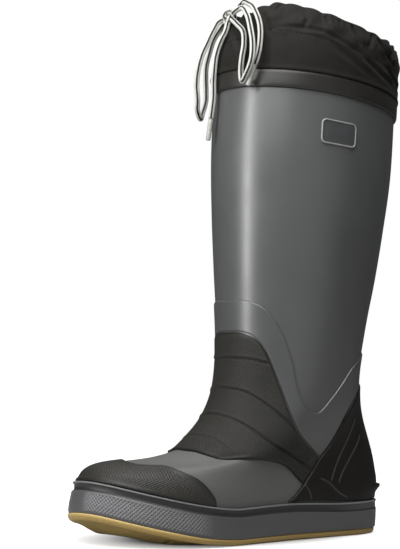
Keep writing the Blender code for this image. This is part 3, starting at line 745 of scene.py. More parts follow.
@dataclass(frozen=True)
class WovenCloth(Finish):
    """Plain woven or knitted cloth: a thread relief in two directions and a soft sheen."""

    thread_mm: float = 0.9
    thread_depth_mm: float = 0.06
    sheen: float = 0.2
    rumple_mm: float = 9.0
    rumple_depth_mm: float = 0.5

    def dress(self, nodes: Nodes, colour: Socket) -> tuple[Socket, Socket]:
        """Add the weave and small rumples.

        Args:
            nodes: The material's nodes.
            colour: Clouded colour so far.

        Returns:
            The finished colour and the normal.
        """
        tree, shader, place = nodes
        shader.inputs["Sheen Weight"].default_value = self.sheen
        shader.inputs["Sheen Roughness"].default_value = 0.45
        chart = add_node(tree, "ShaderNodeUVMap", {"uv_map": CHART}, {}).outputs["UV"]
        # A wave texture's straight bands repeat every 2 pi / (20 x scale).
        scale = math.tau / (20 * self.thread_mm)
        warp, weft = (add_node(tree, "ShaderNodeTexWave", {"bands_direction": way, "Scale": scale},
                               {"Vector": chart}).outputs["Fac"] for way in "XY")
        weave = add_node(tree, "ShaderNodeMath", {"operation": "MULTIPLY"}, {0: warp, 1: weft})
        rumple = add_node(tree, "ShaderNodeTexNoise", {"Scale": 1 / (self.rumple_mm * MM), "Detail": 3.0},
                          {"Vector": place})
        soft = add_node(tree, "ShaderNodeBump", {"Distance": self.rumple_depth_mm * MM},
                        {"Height": rumple.outputs["Fac"]})
        bump = add_node(tree, "ShaderNodeBump", {"Distance": self.thread_depth_mm * MM},
                        {"Height": weave.outputs["Value"], "Normal": soft.outputs["Normal"]})
        return colour, bump.outputs["Normal"]


@dataclass(frozen=True)
class BraidedCord(Finish):
    """Polyester cord braided from white yarns with one dark tracer along it."""

    tracer: str = "#0b0b0b"
    tracer_mm: float = 1.7
    girth_mm: float = 14.5
    yarn_mm: float = 1.6
    yarn_depth_mm: float = 0.25
    # How far the yarns step in and out along the tracer's edges
    ragged_mm: float = 0.6
    sheen: float = 0.03

    def dress(self, nodes: Nodes, colour: Socket) -> tuple[Socket, Socket]:
        """Add the braid and the tracer.

        Args:
            nodes: The material's nodes.
            colour: Clouded colour so far.

        Returns:
            The finished colour and the normal.
        """
        tree, shader, _ = nodes
        shader.inputs["Sheen Weight"].default_value = self.sheen
        chart, left, right = crossed_bands(tree, self.yarn_mm)
        braid = add_node(tree, "ShaderNodeMath", {"operation": "MAXIMUM"}, {0: left, 1: right})
        bump = add_node(tree, "ShaderNodeBump", {"Distance": self.yarn_depth_mm * MM},
                        {"Height": braid.outputs["Value"]})
        around = add_node(tree, "ShaderNodeSeparateXYZ", {}, {"Vector": chart})
        ragged = add_node(tree, "ShaderNodeMath", {"operation": "MULTIPLY_ADD", 1: self.ragged_mm},
                          {0: left, 2: around.outputs["X"]})
        stripe = {"operation": "COMPARE", 1: (self.girth_mm + self.ragged_mm) / 2, 2: self.tracer_mm / 2}
        on_tracer = add_node(tree, "ShaderNodeMath", stripe, {0: ragged.outputs["Value"]})
        striped = add_node(tree, "ShaderNodeMix", {"data_type": "RGBA", 7: linear(self.tracer)},
                           {0: on_tracer.outputs["Value"], 6: colour})
        return striped.outputs[2], bump.outputs["Normal"]


@dataclass(frozen=True)
class StudioPaper(MouldedRubber):
    """Matt white paper that glows away from the boot, as a sweep lit from behind does."""

    # The boot's half length and width, and how many of those away the glow starts and is full
    print_size: Span = (0.15, 0.075)
    glow_from: float = 0.6
    glow_to: float = 1.05
    glow: float = 0.95

    def dress(self, nodes: Nodes, colour: Socket) -> tuple[Socket, Socket]:
        """Add the glow to the paper.

        Args:
            nodes: The material's nodes.
            colour: Clouded colour so far.

        Returns:
            The finished colour and the normal.
        """
        tree, shader, place = nodes
        scale = (1 / self.print_size[0], 1 / self.print_size[1], 0.0)
        share = add_node(tree, "ShaderNodeVectorMath", {"operation": "MULTIPLY", 1: scale}, {0: place})
        far = add_node(tree, "ShaderNodeVectorMath", {"operation": "LENGTH"}, {0: share.outputs["Vector"]})
        lit = add_node(tree, "ShaderNodeMapRange",
                       {"From Min": self.glow_from, "From Max": self.glow_to, "To Max": self.glow},
                       {"Value": far.outputs["Value"]})
        seen = add_node(tree, "ShaderNodeLightPath", {}, {})
        glow = add_node(tree, "ShaderNodeMath", {"operation": "MULTIPLY"},
                        {0: lit.outputs["Result"], 1: seen.outputs["Is Camera Ray"]})
        tree.links.new(glow.outputs["Value"], shader.inputs["Emission Strength"])
        return super().dress(nodes, colour)


# Satin grey natural rubber, dipped and lacquered: a soft wide gloss over a faintly uneven skin.
GREY_RUBBER = MouldedRubber("satin_natural_rubber_grey", "#454646", "#4e4f4f", (0.33, 0.38),
                            edge="#757675", grain_mm=1.2, grain_depth_mm=0.015, shine=1.3)
# The same rubber on the foot, rougher: duller, with little gloss, and painted paler, as the light on the
# foot.
FOOT_RUBBER = MouldedRubber("matt_natural_rubber_grey_painted_lit", "#535452", "#5d5e5b", (0.52, 0.6),
                            grain_mm=1.2, grain_depth_mm=0.02, shine=0.6)
# The same rubber pressed into the thin raised layer round the ankle; its paler border colour is a painted
# highlight along its edge.
PANEL_RUBBER = MouldedRubber("satin_natural_rubber_panel", "#424343", "#4b4c4c", (0.33, 0.38),
                             edge="#5b5c5b", grain_mm=1.2, grain_depth_mm=0.015, shine=1.3)
# Black rubber pressed with a knurl: dull, brownish in the light, its studs catch small glints. Its darker
# border colour is painted shade: a painted shadow along the guard's edges and a dark painted band along the
# toe cap's border.
# The knurl's real pitch of about 1.6 mm is drawn at 2.2 mm so that it shows.
GUARD_RUBBER = KnurledRubber("knurled_black_rubber_guard", "#21201d", "#292825", (0.45, 0.55),
                             edge="#0b0b0a", edge_mm=1.6, edge_share=0.9, pitch_mm=2.2, knurl_depth_mm=0.4,
                             shine=0.5)
TOE_RUBBER = KnurledRubber("knurled_black_rubber_toe", "#22211e", "#2b2a26", (0.42, 0.52),
                           edge="#10100f", edge_mm=3.0, edge_share=0.7, pitch_mm=2.4, knurl_depth_mm=0.25,
                           plain_mm=(2.5, 6.0), shine=0.6)
# Black rubber pressed with fine ribs: darker than the knurled pieces, the ribs' crests painted paler as a
# highlight.
COUNTER_RUBBER = MouldedRubber("pressed_black_rubber_ribbed", "#161413", "#1d1b19", (0.42, 0.52),
                               edge="#4c4b49", edge_mm=0.8, edge_share=0.8, shine=0.35)
# The same rubber pressed smooth and dark; its darker border colour is painted shade, which the kick spur,
# having no border, does not show.
BLACK_RUBBER = MouldedRubber("pressed_black_rubber", "#161413", "#1d1b19", (0.42, 0.52),
                             edge="#0d0d0c", edge_mm=1.6, edge_share=0.8, shine=0.35)
# The band is the same rubber, calendered: a soft wide gloss round its front.
BAND_RUBBER = MouldedRubber("calendered_black_rubber", "#1b1a18", "#22211e", (0.38, 0.44),
                            edge="#151413")
# Vulcanised sole rubber, grey and dull, with the mould's fine sandblast; its pale border colour is painted on
# the hatch's crests and the lip as highlights. The channel under the lip is painted darker, as the shade in
# its recess.
SOLE_RUBBER = MouldedRubber("vulcanised_sole_rubber_grey", "#434345", "#4c4c4e", (0.4, 0.5),
                            edge="#8a8a8c", grain_mm=0.6, grain_depth_mm=0.03)
CHANNEL_SHADE = MouldedRubber("sole_channel_painted_shade", "#1c1c1b", "#232322", (0.45, 0.55),
                               edge="#454547", edge_share=1.0)
# Gum rubber: tan and slightly waxy, with specks of filler; its pale border colour is a painted highlight
# along the outsole's upper edge round the toe.
GUM_RUBBER = MouldedRubber("gum_rubber_tan", "#94793f", "#a68b50", (0.45, 0.58), blotch_mm=12.0,
                           edge="#d4bb7a", edge_share=0.5, grain_mm=0.8, grain_depth_mm=0.04)
# The tread's underside, pressed duller in the mould and painted darker, as the shade under the sole.
TREAD_RUBBER = MouldedRubber("gum_rubber_tread", "#84703d", "#957f48", (0.55, 0.65), blotch_mm=14.0,
                             edge="#8c7748", grain_mm=0.8, grain_depth_mm=0.05)
# Coated nylon: plain weave under a matt film, a brown cast where the light rakes it. Its threads of
# about 0.25 mm are drawn at 0.8 mm so that they show.
NYLON = WovenCloth("coated_nylon_plain_weave", "#100f0c", "#171512", (0.7, 0.85), 1.53, thread_mm=0.8,
                   shine=0.3, sheen=0.02)
# Polyester knit bonded inside the shaft: dull, dark grey, with a loop relief drawn at 1.4 mm.
LINING_KNIT = WovenCloth("polyester_knit_lining", "#2a2a2c", "#363638", (0.85, 0.95), 1.57, thread_mm=1.4,
                         thread_depth_mm=0.15, sheen=0.3, rumple_depth_mm=0.1)
# Knit cover on a foam footbed, black with a soft nap.
INSOLE_KNIT = WovenCloth("knit_covered_foam", "#1a1a1b", "#262627", (0.85, 0.95), 1.5, thread_mm=1.2,
                         thread_depth_mm=0.15, sheen=0.3, rumple_depth_mm=0.15)
# Bonded polyester sewing thread, black.
THREAD = WovenCloth("bonded_polyester_thread", "#0e0d0b", "#151310", (0.7, 0.8), 1.57, thread_mm=0.5,
                    thread_depth_mm=0.03, rumple_depth_mm=0.02, sheen=0.0, shine=0.2)
# Polyester cord braided from sixteen white yarns and a dark tracer; the yarns are drawn at 1.6 mm.
CORD_BRAID = BraidedCord("braided_polyester_cord", "#aeaea9", "#cbcbc5", (0.7, 0.8), 1.57,
                         blotch_mm=3.0, shine=0.4)
# Acetate film rolled hard round the cord's ends: glossy, the yarn ends show through as grey specks.
AGLET_FILM = MouldedRubber("acetate_film_over_cord", "#4f4f4b", "#c4c4be", (0.25, 0.35), 1.48, blotch_mm=1.8,
                           edge="#a5a5a0", grain_mm=0.8, grain_depth_mm=0.03, lacquer=0.2)
# Badge: smooth dark plate in a pale raised rim, moulded in two colours of rubber.
BADGE_PLATE = MouldedRubber("two_colour_badge_dark", "#363738", "#3d3e3f", (0.4, 0.5))
BADGE_RIM = MouldedRubber("two_colour_badge_pale", "#767674", "#838381", (0.4, 0.5), edge="#8f8f8c")
# Matt white studio paper.
PAPER = StudioPaper("matt_studio_paper", "#adadab", "#b1b1af", (0.85, 0.9), 1.45, blotch_mm=400.0,
                    edge="#b1b1af", grain_mm=2.0, grain_depth_mm=0.02)


@dataclass
class SubAssembly:
    """A group of pieces built on the last."""

    last: Last
    stance: Stance

    def finish_piece(self, piece: Piece, slot: str, *nodes: str) -> Piece:
        """Hide the CAD nodes that a piece stands for.

        Args:
            piece: The fine piece.
            slot: Not used.
            nodes: CAD nodes that it replaces.

        Returns:
            The same piece.
        """
        if nodes:
            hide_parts(*nodes)
        return piece


def search_tree(points: Sequence[Sequence[float]]) -> KDTree:
    """Make a tree that finds the nearest of many points.

    Args:
        points: Points in the order of their numbers.

    Returns:
        The tree, ready to search.
    """
    tree = KDTree(len(points))
    for k, point in enumerate(points):
        tree.insert(point, k)
    tree.balance()
    return tree


def round_angles(steps: Sequence[tuple[float, float]]) -> Array:
    """Angles all the way round, symmetric about the toe.

    Args:
        steps: Angle from the toe up to which a step holds, and that step, in rising order.

    Returns:
        Angles from 0 at the toe to just under 360.
    """
    half = []
    start = 0.0
    for limit, step in steps:
        half.append(np.arange(start, limit - step / 2, step))
        start = limit
    half = np.concatenate((*half, [180.0]))
    return np.concatenate((half, 360.0 - half[-2:0:-1]))


@dataclass
class Sole(SubAssembly):
    """Grey cup sole wall, gum outsole and insole."""

    hatch_start: float = 7.0
    hatch_angle: float = 68.0
    hatch_pitch: float = 3.0
    hatch_depth: float = 0.55
    hatch_low: float = 6.4
    hatch_high: float = 21.2
    # Stretches over which the hatch comes in at the toe, runs out on the sides and fades at its edges
    hatch_start_fade: float = 4.0
    hatch_end_fade: float = 8.0
    hatch_edge_fade: float = 0.8
    groove_width: float = 4.0
    groove_depth: float = 2.0
    groove_margin: float = 12.0
    groove_side_fade: float = 0.5
    groove_end_fade: float = 1.0
    groove_stations: tuple[float, ...] = (-122, -106, -90, -74, -22, -4, 14, 32, 50, 68, 86)
    insole_inset: float = 2.9
    insole_thickness: float = 3.0
    insole_cup: float = 2.5
    insole_cup_width: float = 14.0
    # Step in and height of the insole's lower and upper bevel
    insole_bevels: tuple[Span, Span] = ((0.6, 0.5), (0.7, 0.6))
    # Steps in degrees where there is relief and where there is none, rows up the wall, points across
    fine_step: float = 0.25
    plain_step: float = 1.0
    wall_rows: int = 40
    across: int = 25
    # Crown of the underside: its depth, the stretches of x where it comes and goes, its edge
    crown: float = 6.0
    crown_start: Span = (40.0, 90.0)
    crown_end: Span = (115.0, 142.0)
    crown_edge: float = 24.0
    # Angles over which the channel's painted shade runs out grey, and over which the outsole's painted
    # highlight ends
    channel_shade_end: Span = (112.0, 150.0)
    highlight_end: Span = (45.0, 75.0)
    wall_low: SideRows = (SideRow(4.75, 4.6, 1.4), SideRow(4.85, 5.2, 1.9), SideRow(5.3, 5.55, 2.3))
    wall_face: SideRows = (SideRow(4.9, 5.6, 2.3), SideRow(12.0, 4.8, 3.0), SideRow(19.5, 3.1, 3.4))
    wall_heel_top: float = 17.9
    # Ledge, channel and lip; they fall towards the heel, where the channel is shallow
    ledge: SideRows = (
        SideRow(21.4, 2.8, 3.4, 18.1), SideRow(21.8, 2.6, 3.35, 18.5), SideRow(22.2, 2.2, 3.2, 18.9),
        SideRow(22.5, 1.7, 3.0, 19.2))
    channel: SideRows = (
        SideRow(23.2, 1.2, 2.8, 20.0), SideRow(24.8, 1.1, 2.75, 21.6), SideRow(26.6, 1.1, 2.75, 23.4))
    lip: SideRows = (
        SideRow(27.0, 1.4, 2.9, 23.8), SideRow(27.2, 1.9, 3.3, 24.0), SideRow(27.5, 2.2, 3.5, 24.3),
        SideRow(27.9, 2.25, 3.55, 24.6), SideRow(28.2, 2.15, 3.4, 24.9), SideRow(28.45, 1.8, 3.1, 25.15),
        SideRow(28.5, 1.5, 2.7, 25.2))
    # Share of each lip row painted paler, as the highlight along the lip
    lip_highlight: tuple[float, ...] = (0.0, 0.5, 1.0, 1.0, 0.8, 0.3, 0.0)
    outsole_side: SideRows = (
        SideRow(0.0, 2.2, -1.6), SideRow(0.25, 3.5, -0.7), SideRow(0.7, 4.5, 0.0), SideRow(1.4, 5.3, 0.6),
        SideRow(2.4, 5.85, 1.0), SideRow(3.6, 6.2, 1.2), SideRow(4.4, 6.2, 1.1), SideRow(4.72, 5.7, 0.6))
    # The outsole's upper edge is painted pale round the toe, as a highlight
    outsole_highlight: tuple[float, ...] = (0.0, 0.0, 0.0, 0.0, 0.1, 0.8, 1.0, 1.0)

    def build(self) -> None:
        """Build the three layers."""
        self.build_wall()
        self.build_outsole()
        self.build_insole()

    def hatch(self, angles: Array, height: float) -> Array:
        """Crossed ridges on the wall round the toe.

        Args:
            angles: Angles round the boot.
            height: Height on the wall.

        Returns:
            Relief at each angle as a share of its depth.
        """
        ring = self.last.side_ring(angles, self.wall_face[1])
        run = run_along(np.concatenate((ring, ring[:1])))
        u = np.minimum(run[:-1], run[-1] - run[:-1])
        ridges = [(0.5 + 0.5 * np.cos(math.tau * (u + way * height) / self.hatch_pitch)) ** 2
                  for way in (-1, 1)]
        start, fade = self.hatch_start, self.hatch_start_fade
        shown = 1 - ease(self.hatch_angle - self.hatch_end_fade, self.hatch_angle, fold(angles))
        shown = shown * ease(start - fade, start + fade, fold(angles))
        edge = ease(self.hatch_low, self.hatch_low + self.hatch_edge_fade, height)
        edge = edge * (1 - ease(self.hatch_high - self.hatch_edge_fade, self.hatch_high, height))
        return np.maximum(*ridges) * shown * edge

    def build_wall(self) -> None:
        """Build the wall with its hatch, channel and lip."""
        angles = round_angles(((self.hatch_angle, self.fine_step), (180.0, self.plain_step)))
        rings = [self.last.side_ring(angles, row) for row in self.wall_low]
        ridges = [np.zeros(len(angles))] * len(rings)
        table = np.array([row[:3] for row in self.wall_face]).T
        heights = np.linspace(self.hatch_low, self.hatch_high, self.wall_rows)
        heel_heights = np.linspace(self.hatch_low, self.wall_heel_top, self.wall_rows)
        for height, at_heel in zip(heights, heel_heights):
            toe = np.interp(height, table[0], table[1])
            heel = np.interp(at_heel, table[0], table[2])
            ridge = self.hatch(angles, height)
            ridges.append(ridge)
            row = SideRow(height, toe, heel, at_heel)
            rings.append(self.last.side_ring(angles, row, self.hatch_depth * ridge))
        slots = [0] * (len(rings) + 1)
        rings += [self.last.side_ring(angles, row) for row in self.ledge + self.channel + self.lip]
        # The ledge's and the channel's faces are painted dark, as the shade in the recess under the lip
        slots += [1] * (len(self.ledge) + len(self.channel) - 1)
        top = self.last.side_heights(angles, self.lip[-1])
        rings += [self.last.sole_ring(angles, top, CLEARANCE),
                  self.last.sole_ring(angles, self.last.footbed_height, CLEARANCE)]
        slots += [0] * (len(rings) - 1 - len(slots))
        skin = Skin()
        # The hatch's crests and the lip are painted paler, as highlights, and the channel's painted shade
        # runs out grey at the heel.
        plain = np.zeros(len(angles))
        ridges += [plain] * len(self.ledge)
        ridges += [ease(*self.channel_shade_end, fold(angles))] * len(self.channel)
        ridges += [plain + painted_border for painted_border in self.lip_highlight]
        ridges += [plain] * (len(rings) - len(ridges))
        numbers = skin.grid(np.array(rings), ring=True, slots=np.array(slots), edges=1 - np.array(ridges))
        skin.cap(numbers[0])
        skin.cap(numbers[-1])
        piece = skin.build("sole_wall_rubber", self.stance, (SOLE_RUBBER, CHANNEL_SHADE))
        self.finish_piece(piece, "sole_rubber", "sole_wall")

    def across_grid(self, ring: Array, height: Callable[[Array, Array, Array], Array]) -> Array:
        """Points across a symmetric ring, station by station.

        Args:
            ring: Points of the ring.
            height: Function that gives z from x, y and the distance from the ring's edge.

        Returns:
            Stations by places across by x, y and z, the ring's own points at both ends.
        """
        half = len(ring) // 2
        near = ring[1:half]
        far = ring[:half:-1]
        share = np.linspace(0, 1, self.across)[None, :, None]
        points = near[:, None] * (1 - share) + far[:, None] * share
        wide = np.linalg.norm(near - far, axis=1)[:, None]
        inset = np.minimum(share[..., 0], 1 - share[..., 0]) * wide
        points[..., 2] = height(points[..., 0], points[..., 1], inset)
        points[:, 0] = near
        points[:, -1] = far
        return points

    def close_across(self, skin: Skin, numbers: Array, points: Array, slot: int = 0) -> None:
        """Close a ring of a skin with a grid of points across it.

        Args:
            skin: Skin that holds the ring.
            numbers: Numbers of the ring's points.
            points: Grid across the ring, from across_grid.
            slot: Number of the finish.
        """
        grid = skin.grid(points, slots=np.full(len(points) - 1, slot))
        half = len(numbers) // 2
        skin.patch([[numbers[0], a, b] for a, b in zip(grid[0], grid[0, 1:])], slot)
        skin.patch([[numbers[half], b, a] for a, b in zip(grid[-1], grid[-1, 1:])], slot)

    def tread(self, x: Array, y: Array, inset: Array) -> Array:
        """Underside of the outsole, crowned under the toe and raised in the grooves.

        Args:
            x: Places along the boot.
            y: Places across it.
            inset: Distances in from the sole's edge.

        Returns:
            z at each place.
        """
        flat = self.last.rise(x, y) - self.last.extra_depth(x, y)
        gaps = np.abs(x[..., None] - np.array(self.groove_stations)).min(-1)
        half, margin = self.groove_width / 2, self.groove_margin
        groove = 1 - ease(half - self.groove_side_fade, half + self.groove_side_fade, gaps)
        groove = groove * ease(margin - self.groove_end_fade, margin + self.groove_end_fade, inset)
        crown = self.crown * ease(*self.crown_start, x) * (1 - ease(*self.crown_end, x))
        return flat - crown * ease(0, self.crown_edge, inset) + self.groove_depth * groove

    def build_outsole(self) -> None:
        """Build the gum tread layer with its cross grooves."""
        angles = round_angles(((180.0, self.fine_step),))
        rings = np.array([self.last.side_ring(angles, row) for row in self.outsole_side])
        skin = Skin()
        # Painted highlight: the outsole's upper rows are painted pale round the toe
        painted_border = np.array(self.outsole_highlight)[:, None] * (1 - ease(*self.highlight_end, fold(angles)))
        numbers = skin.grid(rings, ring=True, edges=1 - painted_border)
        self.close_across(skin, numbers[0], self.across_grid(rings[0], self.tread), slot=1)
        skin.cap(numbers[-1])
        piece = skin.build("outsole_gum", self.stance, (GUM_RUBBER, TREAD_RUBBER))
        self.finish_piece(piece, "gum_rubber", "outsole")

    @property
    def insole_top(self) -> float:
        """Height of the insole's top over the last's bottom."""
        return self.last.footbed_height + CLEARANCE + self.insole_thickness

    def footbed(self, x: Array, y: Array, inset: Array) -> Array:
        """Top of the insole at a place, cupped along its edge."""
        cup = self.insole_cup * (1 - ease(0, self.insole_cup_width, inset))
        return self.last.rise(x, y) + self.insole_top + cup

    def build_insole(self) -> None:
        angles = round_angles(((180.0, self.plain_step),))
        low = self.last.footbed_height + CLEARANCE
        rim = self.insole_top + self.insole_cup
        (low_in, low_up), (rim_in, rim_down) = self.insole_bevels
        profile = ((low_in, low), (0.0, low + low_up), (0.0, rim - rim_down), (rim_in, rim))
        rings = np.array([self.last.sole_ring(angles, z, -self.insole_inset - step) for step, z in profile])
        skin = Skin()
        numbers = skin.grid(rings, ring=True)
        skin.cap(numbers[0])
        self.close_across(skin, numbers[-1], self.across_grid(rings[-1], self.footbed))
        piece = skin.build("insole_footbed", self.stance, (INSOLE_KNIT,))
        self.finish_piece(piece, "insole_foam", "insole")


@dataclass
class Upper(SubAssembly):
    """Hollow rubber foot and shaft, and the knit lining bonded inside it."""

    wall: float = 2.6
    lining: float = 0.8
    glue: float = 0.05
    # Level under the overlays at which the foot's duller rubber, painted paler, ends
    foot_top: float = 9.2
    # Distance in from the shaft's outside and height over its top edge, where the lining folds over it
    lining_fold: tuple[Span, ...] = (
        (2.6, 0.1), (0.4, 0.1), (0.2, 0.3), (0.3, 0.65), (0.8, 0.9), (1.7, 1.0), (2.7, 0.9), (3.3, 0.6))
    columns: int = 300
    # Levels at which the outside's rows change their spacing, and the rows from each one to the next
    outside_levels: tuple[float, ...] = (0.0, 2.0, 10.0)
    outside_rows: tuple[int, ...] = (11, 90, 90)
    inside_rows: int = 46
    # The lining's lowest level, the stretch that it stays under the shaft's top, its rows and columns
    lining_low: float = 0.35
    lining_margin: float = 0.01
    lining_rows: int = 44
    lining_columns: int = 180

    def build(self) -> None:
        """Build the shell and its lining."""
        self.build_shell()
        self.build_lining()

    def build_shell(self) -> None:
        """Build the rubber foot and shaft."""
        angles = 180.0 + np.arange(self.columns) * 360.0 / self.columns
        top = self.last.top_level
        levels = (*self.outside_levels, top)
        stretches = zip(levels, levels[1:], self.outside_rows)
        outside = np.unique(np.concatenate([np.linspace(*stretch) for stretch in stretches]))
        inside = np.linspace(top, 0, self.inside_rows)
        rows = [self.last.surface(angles, level) for level in outside]
        rows += [self.last.offset(angles, level, -self.wall) for level in inside]
        slots = (np.concatenate((outside, inside)) < self.foot_top).astype(int)
        skin = Skin()
        skin.grid(np.array(rows), ring=True, tube=True, slots=slots)
        piece = skin.build("upper_shell", self.stance, (GREY_RUBBER, FOOT_RUBBER))
        self.finish_piece(piece, "grey_rubber", "upper")

    def build_lining(self) -> None:
        """Build the knit lining, folded over the shaft's rim."""
        angles = 180.0 + np.arange(self.lining_columns) * 360.0 / self.lining_columns
        top = self.last.top_level
        levels = np.linspace(self.lining_low, top - self.lining_margin, self.lining_rows)
        glued = self.wall + self.glue
        rows = [self.last.offset(angles, level, -glued) for level in levels]
        rows += [self.last.offset(angles, top, -inset) + (0, 0, height) for inset, height in self.lining_fold]
        rows += [self.last.offset(angles, level, -glued - self.lining) for level in levels[::-1]]
        skin = Skin()
        skin.grid(np.array(rows), ring=True, tube=True)
        skin.build("shaft_lining", self.stance, (LINING_KNIT,))


class Centre(Enum):
    """Where an overlay has its middle."""

    TOE = "toe"
    HEEL = "heel"
    ALL_ROUND = "all round"


@dataclass(frozen=True)
class Rib:
    """Raised bead on an overlay with a groove along its lower side."""

    path: Edge
    height: float = 0.6
    width: float = 1.2
    groove: float = 1.1
    groove_width: float = 0.9
    groove_gap: float = 1.6


@dataclass
class Overlay(SubAssembly):
    """Rubber sheet moulded on the upper between a lower and an upper edge, the same on both sides."""

    name: str = ""
    node: tuple[str, ...] = ()
    slot: str = "black_rubber"
    finish: Finish = BLACK_RUBBER
    centre: Centre = Centre.TOE
    limit: float = 180.0
    lower: tuple[Edge, ...] = ()
    upper: tuple[Edge, ...] = ()
    thickness: float = 1.5
    rounding: float = 1.2
    ribs: tuple[Rib, ...] = ()
    step: float = 0.75
    rows: int = 100
    sunk: float = 0.25
    edge_rows: tuple[float, ...] = (0.0, 0.25, 0.6, 1.1, 1.8, 2.7, 3.8)
    # Whether the finish's painted edge colour lies on the crests of the ribs, as a painted highlight, instead
    # of along the border
    rib_crest_highlight: bool = False
    # Pieces of an edge's and of a rib's curve between two points, and rows of the hidden underside
    edge_steps: int = 12
    rib_steps: int = 60
    under_rows: int = 30
    # Least angle between two columns and before the last one, and the least height between edge rows
    column_gap: float = 0.15
    last_gap: float = 0.1
    least_middle: float = 2.0
    # Parts of a rib's length, of which the first and last run out; its relief's reach; its border's width
    rib_ends: float = 12.0
    rib_reach: float = 6.0
    rib_margin: float = 1.2
    # Points of the border closer than this get one more between them; the edge is sunk by this much
    rim_gap: float = 8.0
    edge_sunk: float = 0.05

    def border(self, edges: tuple[Edge, ...]) -> Array:
        """Angles and levels along one edge, in the order of the angle from the toe.

        Args:
            edges: The edge's stretches.

        Returns:
            Angles and levels in two columns.
        """
        stretches = []
        for edge in edges:
            for mirror in (0.0, 180.0):
                if edge[0][0] == mirror:
                    edge = tuple((2 * mirror - a, level) for a, level in reversed(edge)) + edge[1:]
                elif edge[-1][0] == mirror:
                    edge = edge + tuple((2 * mirror - a, level) for a, level in reversed(edge[:-1]))
            line = self.last.curve(edge, self.edge_steps)
            stretches.append(line[(line[:, 0] > -1e-6) & (line[:, 0] < 180 + 1e-6)])
        line = np.concatenate(stretches)
        return line[np.argsort(line[:, 0])]

    def columns(self, lower: Array, upper: Array) -> Array:
        """Angles of the sheet's columns, closer where an edge is steep.

        Args:
            lower: Lower edge from border.
            upper: Upper edge from border.

        Returns:
            Rising angles; all round, the last one is a step short of a full turn.
        """
        first, last = (self.limit, 180.0) if self.centre is Centre.HEEL else (0.0, self.limit)
        wanted = np.concatenate((np.arange(first, last, self.step), lower[:, 0], upper[:, 0], [last]))
        wanted = np.unique(np.clip(wanted, first, last))
        kept = [wanted[0]]
        for a in wanted[1:-1]:
            if a - kept[-1] > self.column_gap and last - a > self.last_gap:
                kept.append(a)
        half = np.array(kept + [last])
        if self.centre is Centre.TOE:
            return np.concatenate((-half[:0:-1], half))
        if self.centre is Centre.HEEL:
            return np.concatenate((half, 360.0 - half[-2::-1]))
        return np.concatenate((half, 360.0 - half[-2:0:-1]))

    def levels(self, angles: Array, lower: Array, upper: Array) -> Array:
        """Levels of the sheet's rows, closer along both edges.

        Args:
            angles: Angles of the columns.
            lower: Lower edge from border.
            upper: Upper edge from border.

        Returns:
            Rows by columns.
        """
        low = np.interp(fold(angles), lower[:, 0], lower[:, 1])
        high = np.maximum(np.interp(fold(angles), upper[:, 0], upper[:, 1]), low)
        tall = np.linalg.norm(self.last.surface(angles, high) - self.last.surface(angles, low), axis=1)
        tall = np.maximum(tall, 1e-3)
        edge = np.array(self.edge_rows)[:, None] / tall
        edge = edge * np.minimum(1, tall / (2 * self.edge_rows[-1] + self.least_middle))
        middle = np.linspace(edge[-1], 1 - edge[-1], self.rows + 2)[1:-1]
        shares = np.concatenate((edge, middle, 1 - edge[::-1]))
        return low + (high - low) * shares

    def relief(self, points: Array, levels: Array) -> Array:
        """Height of the ribs at each point.

        Args:
            points: Points of the sheet on the upper.
            levels: Levels of the same points.

        Returns:
            Heights, rows by columns.
        """
        samples = []
        for rib in self.ribs:
            line = self.last.curve(rib.path, self.rib_steps)
            taper = np.minimum(1, np.minimum(np.linspace(0, self.rib_ends, len(line)),
                                             np.linspace(self.rib_ends, 0, len(line))))
            samples += [(p, level, t, rib) for p, (_, level), t in
                        zip(self.last.surface(line[:, 0], line[:, 1]), line, taper)]
        height = np.zeros(levels.size)
        if not samples:
            return height.reshape(levels.shape)
        tree = search_tree([sample[0] for sample in samples])
        for k, (p, level) in enumerate(zip(points.reshape(-1, 3), levels.ravel())):
            _, nearest, far = tree.find(p)
            if far < self.rib_reach:
                _, rib_level, taper, rib = samples[nearest]
                side = math.copysign(far, level - rib_level)
                bead = rib.height * math.exp(-((side / rib.width) ** 2))
                cut = rib.groove * math.exp(-(((side + rib.groove_gap) / rib.groove_width) ** 2))
                height[k] = taper * (bead - cut)
        return height.reshape(levels.shape)

    def from_border(self, points: Array) -> Array:
        """Distance of each point from the sheet's border.

        Args:
            points: Points of the sheet on the upper, rows by columns.

        Returns:
            Distances, rows by columns.
        """
        rim = np.concatenate((points[0], points[-1]))
        between = (rim[1:] + rim[:-1]) / 2
        short = np.linalg.norm(np.diff(rim, axis=0), axis=1) < self.rim_gap
        tree = search_tree(np.concatenate((rim, between[short])))
        far = np.array([tree.find(p)[2] for p in points.reshape(-1, 3)])
        return far.reshape(points.shape[:2])

    def build(self) -> None:
        """Build the sheet with its rounded edge and ribs."""
        lower, upper = self.border(self.lower), self.border(self.upper)
        angles = self.columns(lower, upper)
        levels = self.levels(angles, lower, upper)
        ground = self.last.surface(angles[None], levels)
        far = self.from_border(ground)
        t = np.clip(far / self.rounding, 0, 1)
        rise = (CLEARANCE + self.thickness) * np.sqrt(1 - (1 - t) ** 2) - self.edge_sunk
        relief = self.relief(ground, levels) * ease(0, self.rib_margin, far)
        rise = rise + relief
        # Painted light: the finish's edge colour lies on the ribs' crests as a highlight where the crests are
        # chosen, else along the border
        painted_edge = 1 - relief / relief.max() if self.rib_crest_highlight else far
        top = self.last.offset(angles[None], levels, rise)
        shares = np.linspace(1, 0, self.under_rows)[:, None]
        under = levels[0] + (levels[-1] - levels[0]) * shares
        low = self.last.offset(angles[None], under, -self.sunk)
        skin = Skin()
        points = np.concatenate((top, low))
        edges = np.concatenate((painted_edge, np.full(under.shape, painted_edge[0, 0])))
        middle = len(angles) // 2 if self.centre is not Centre.ALL_ROUND else 0
        skin.grid(points, ring=self.centre is Centre.ALL_ROUND, tube=True, middle=middle, straight=True,
                  edges=edges)
        piece = skin.build(self.name, self.stance, (self.finish,))
        self.finish_piece(piece, self.slot, *self.node)


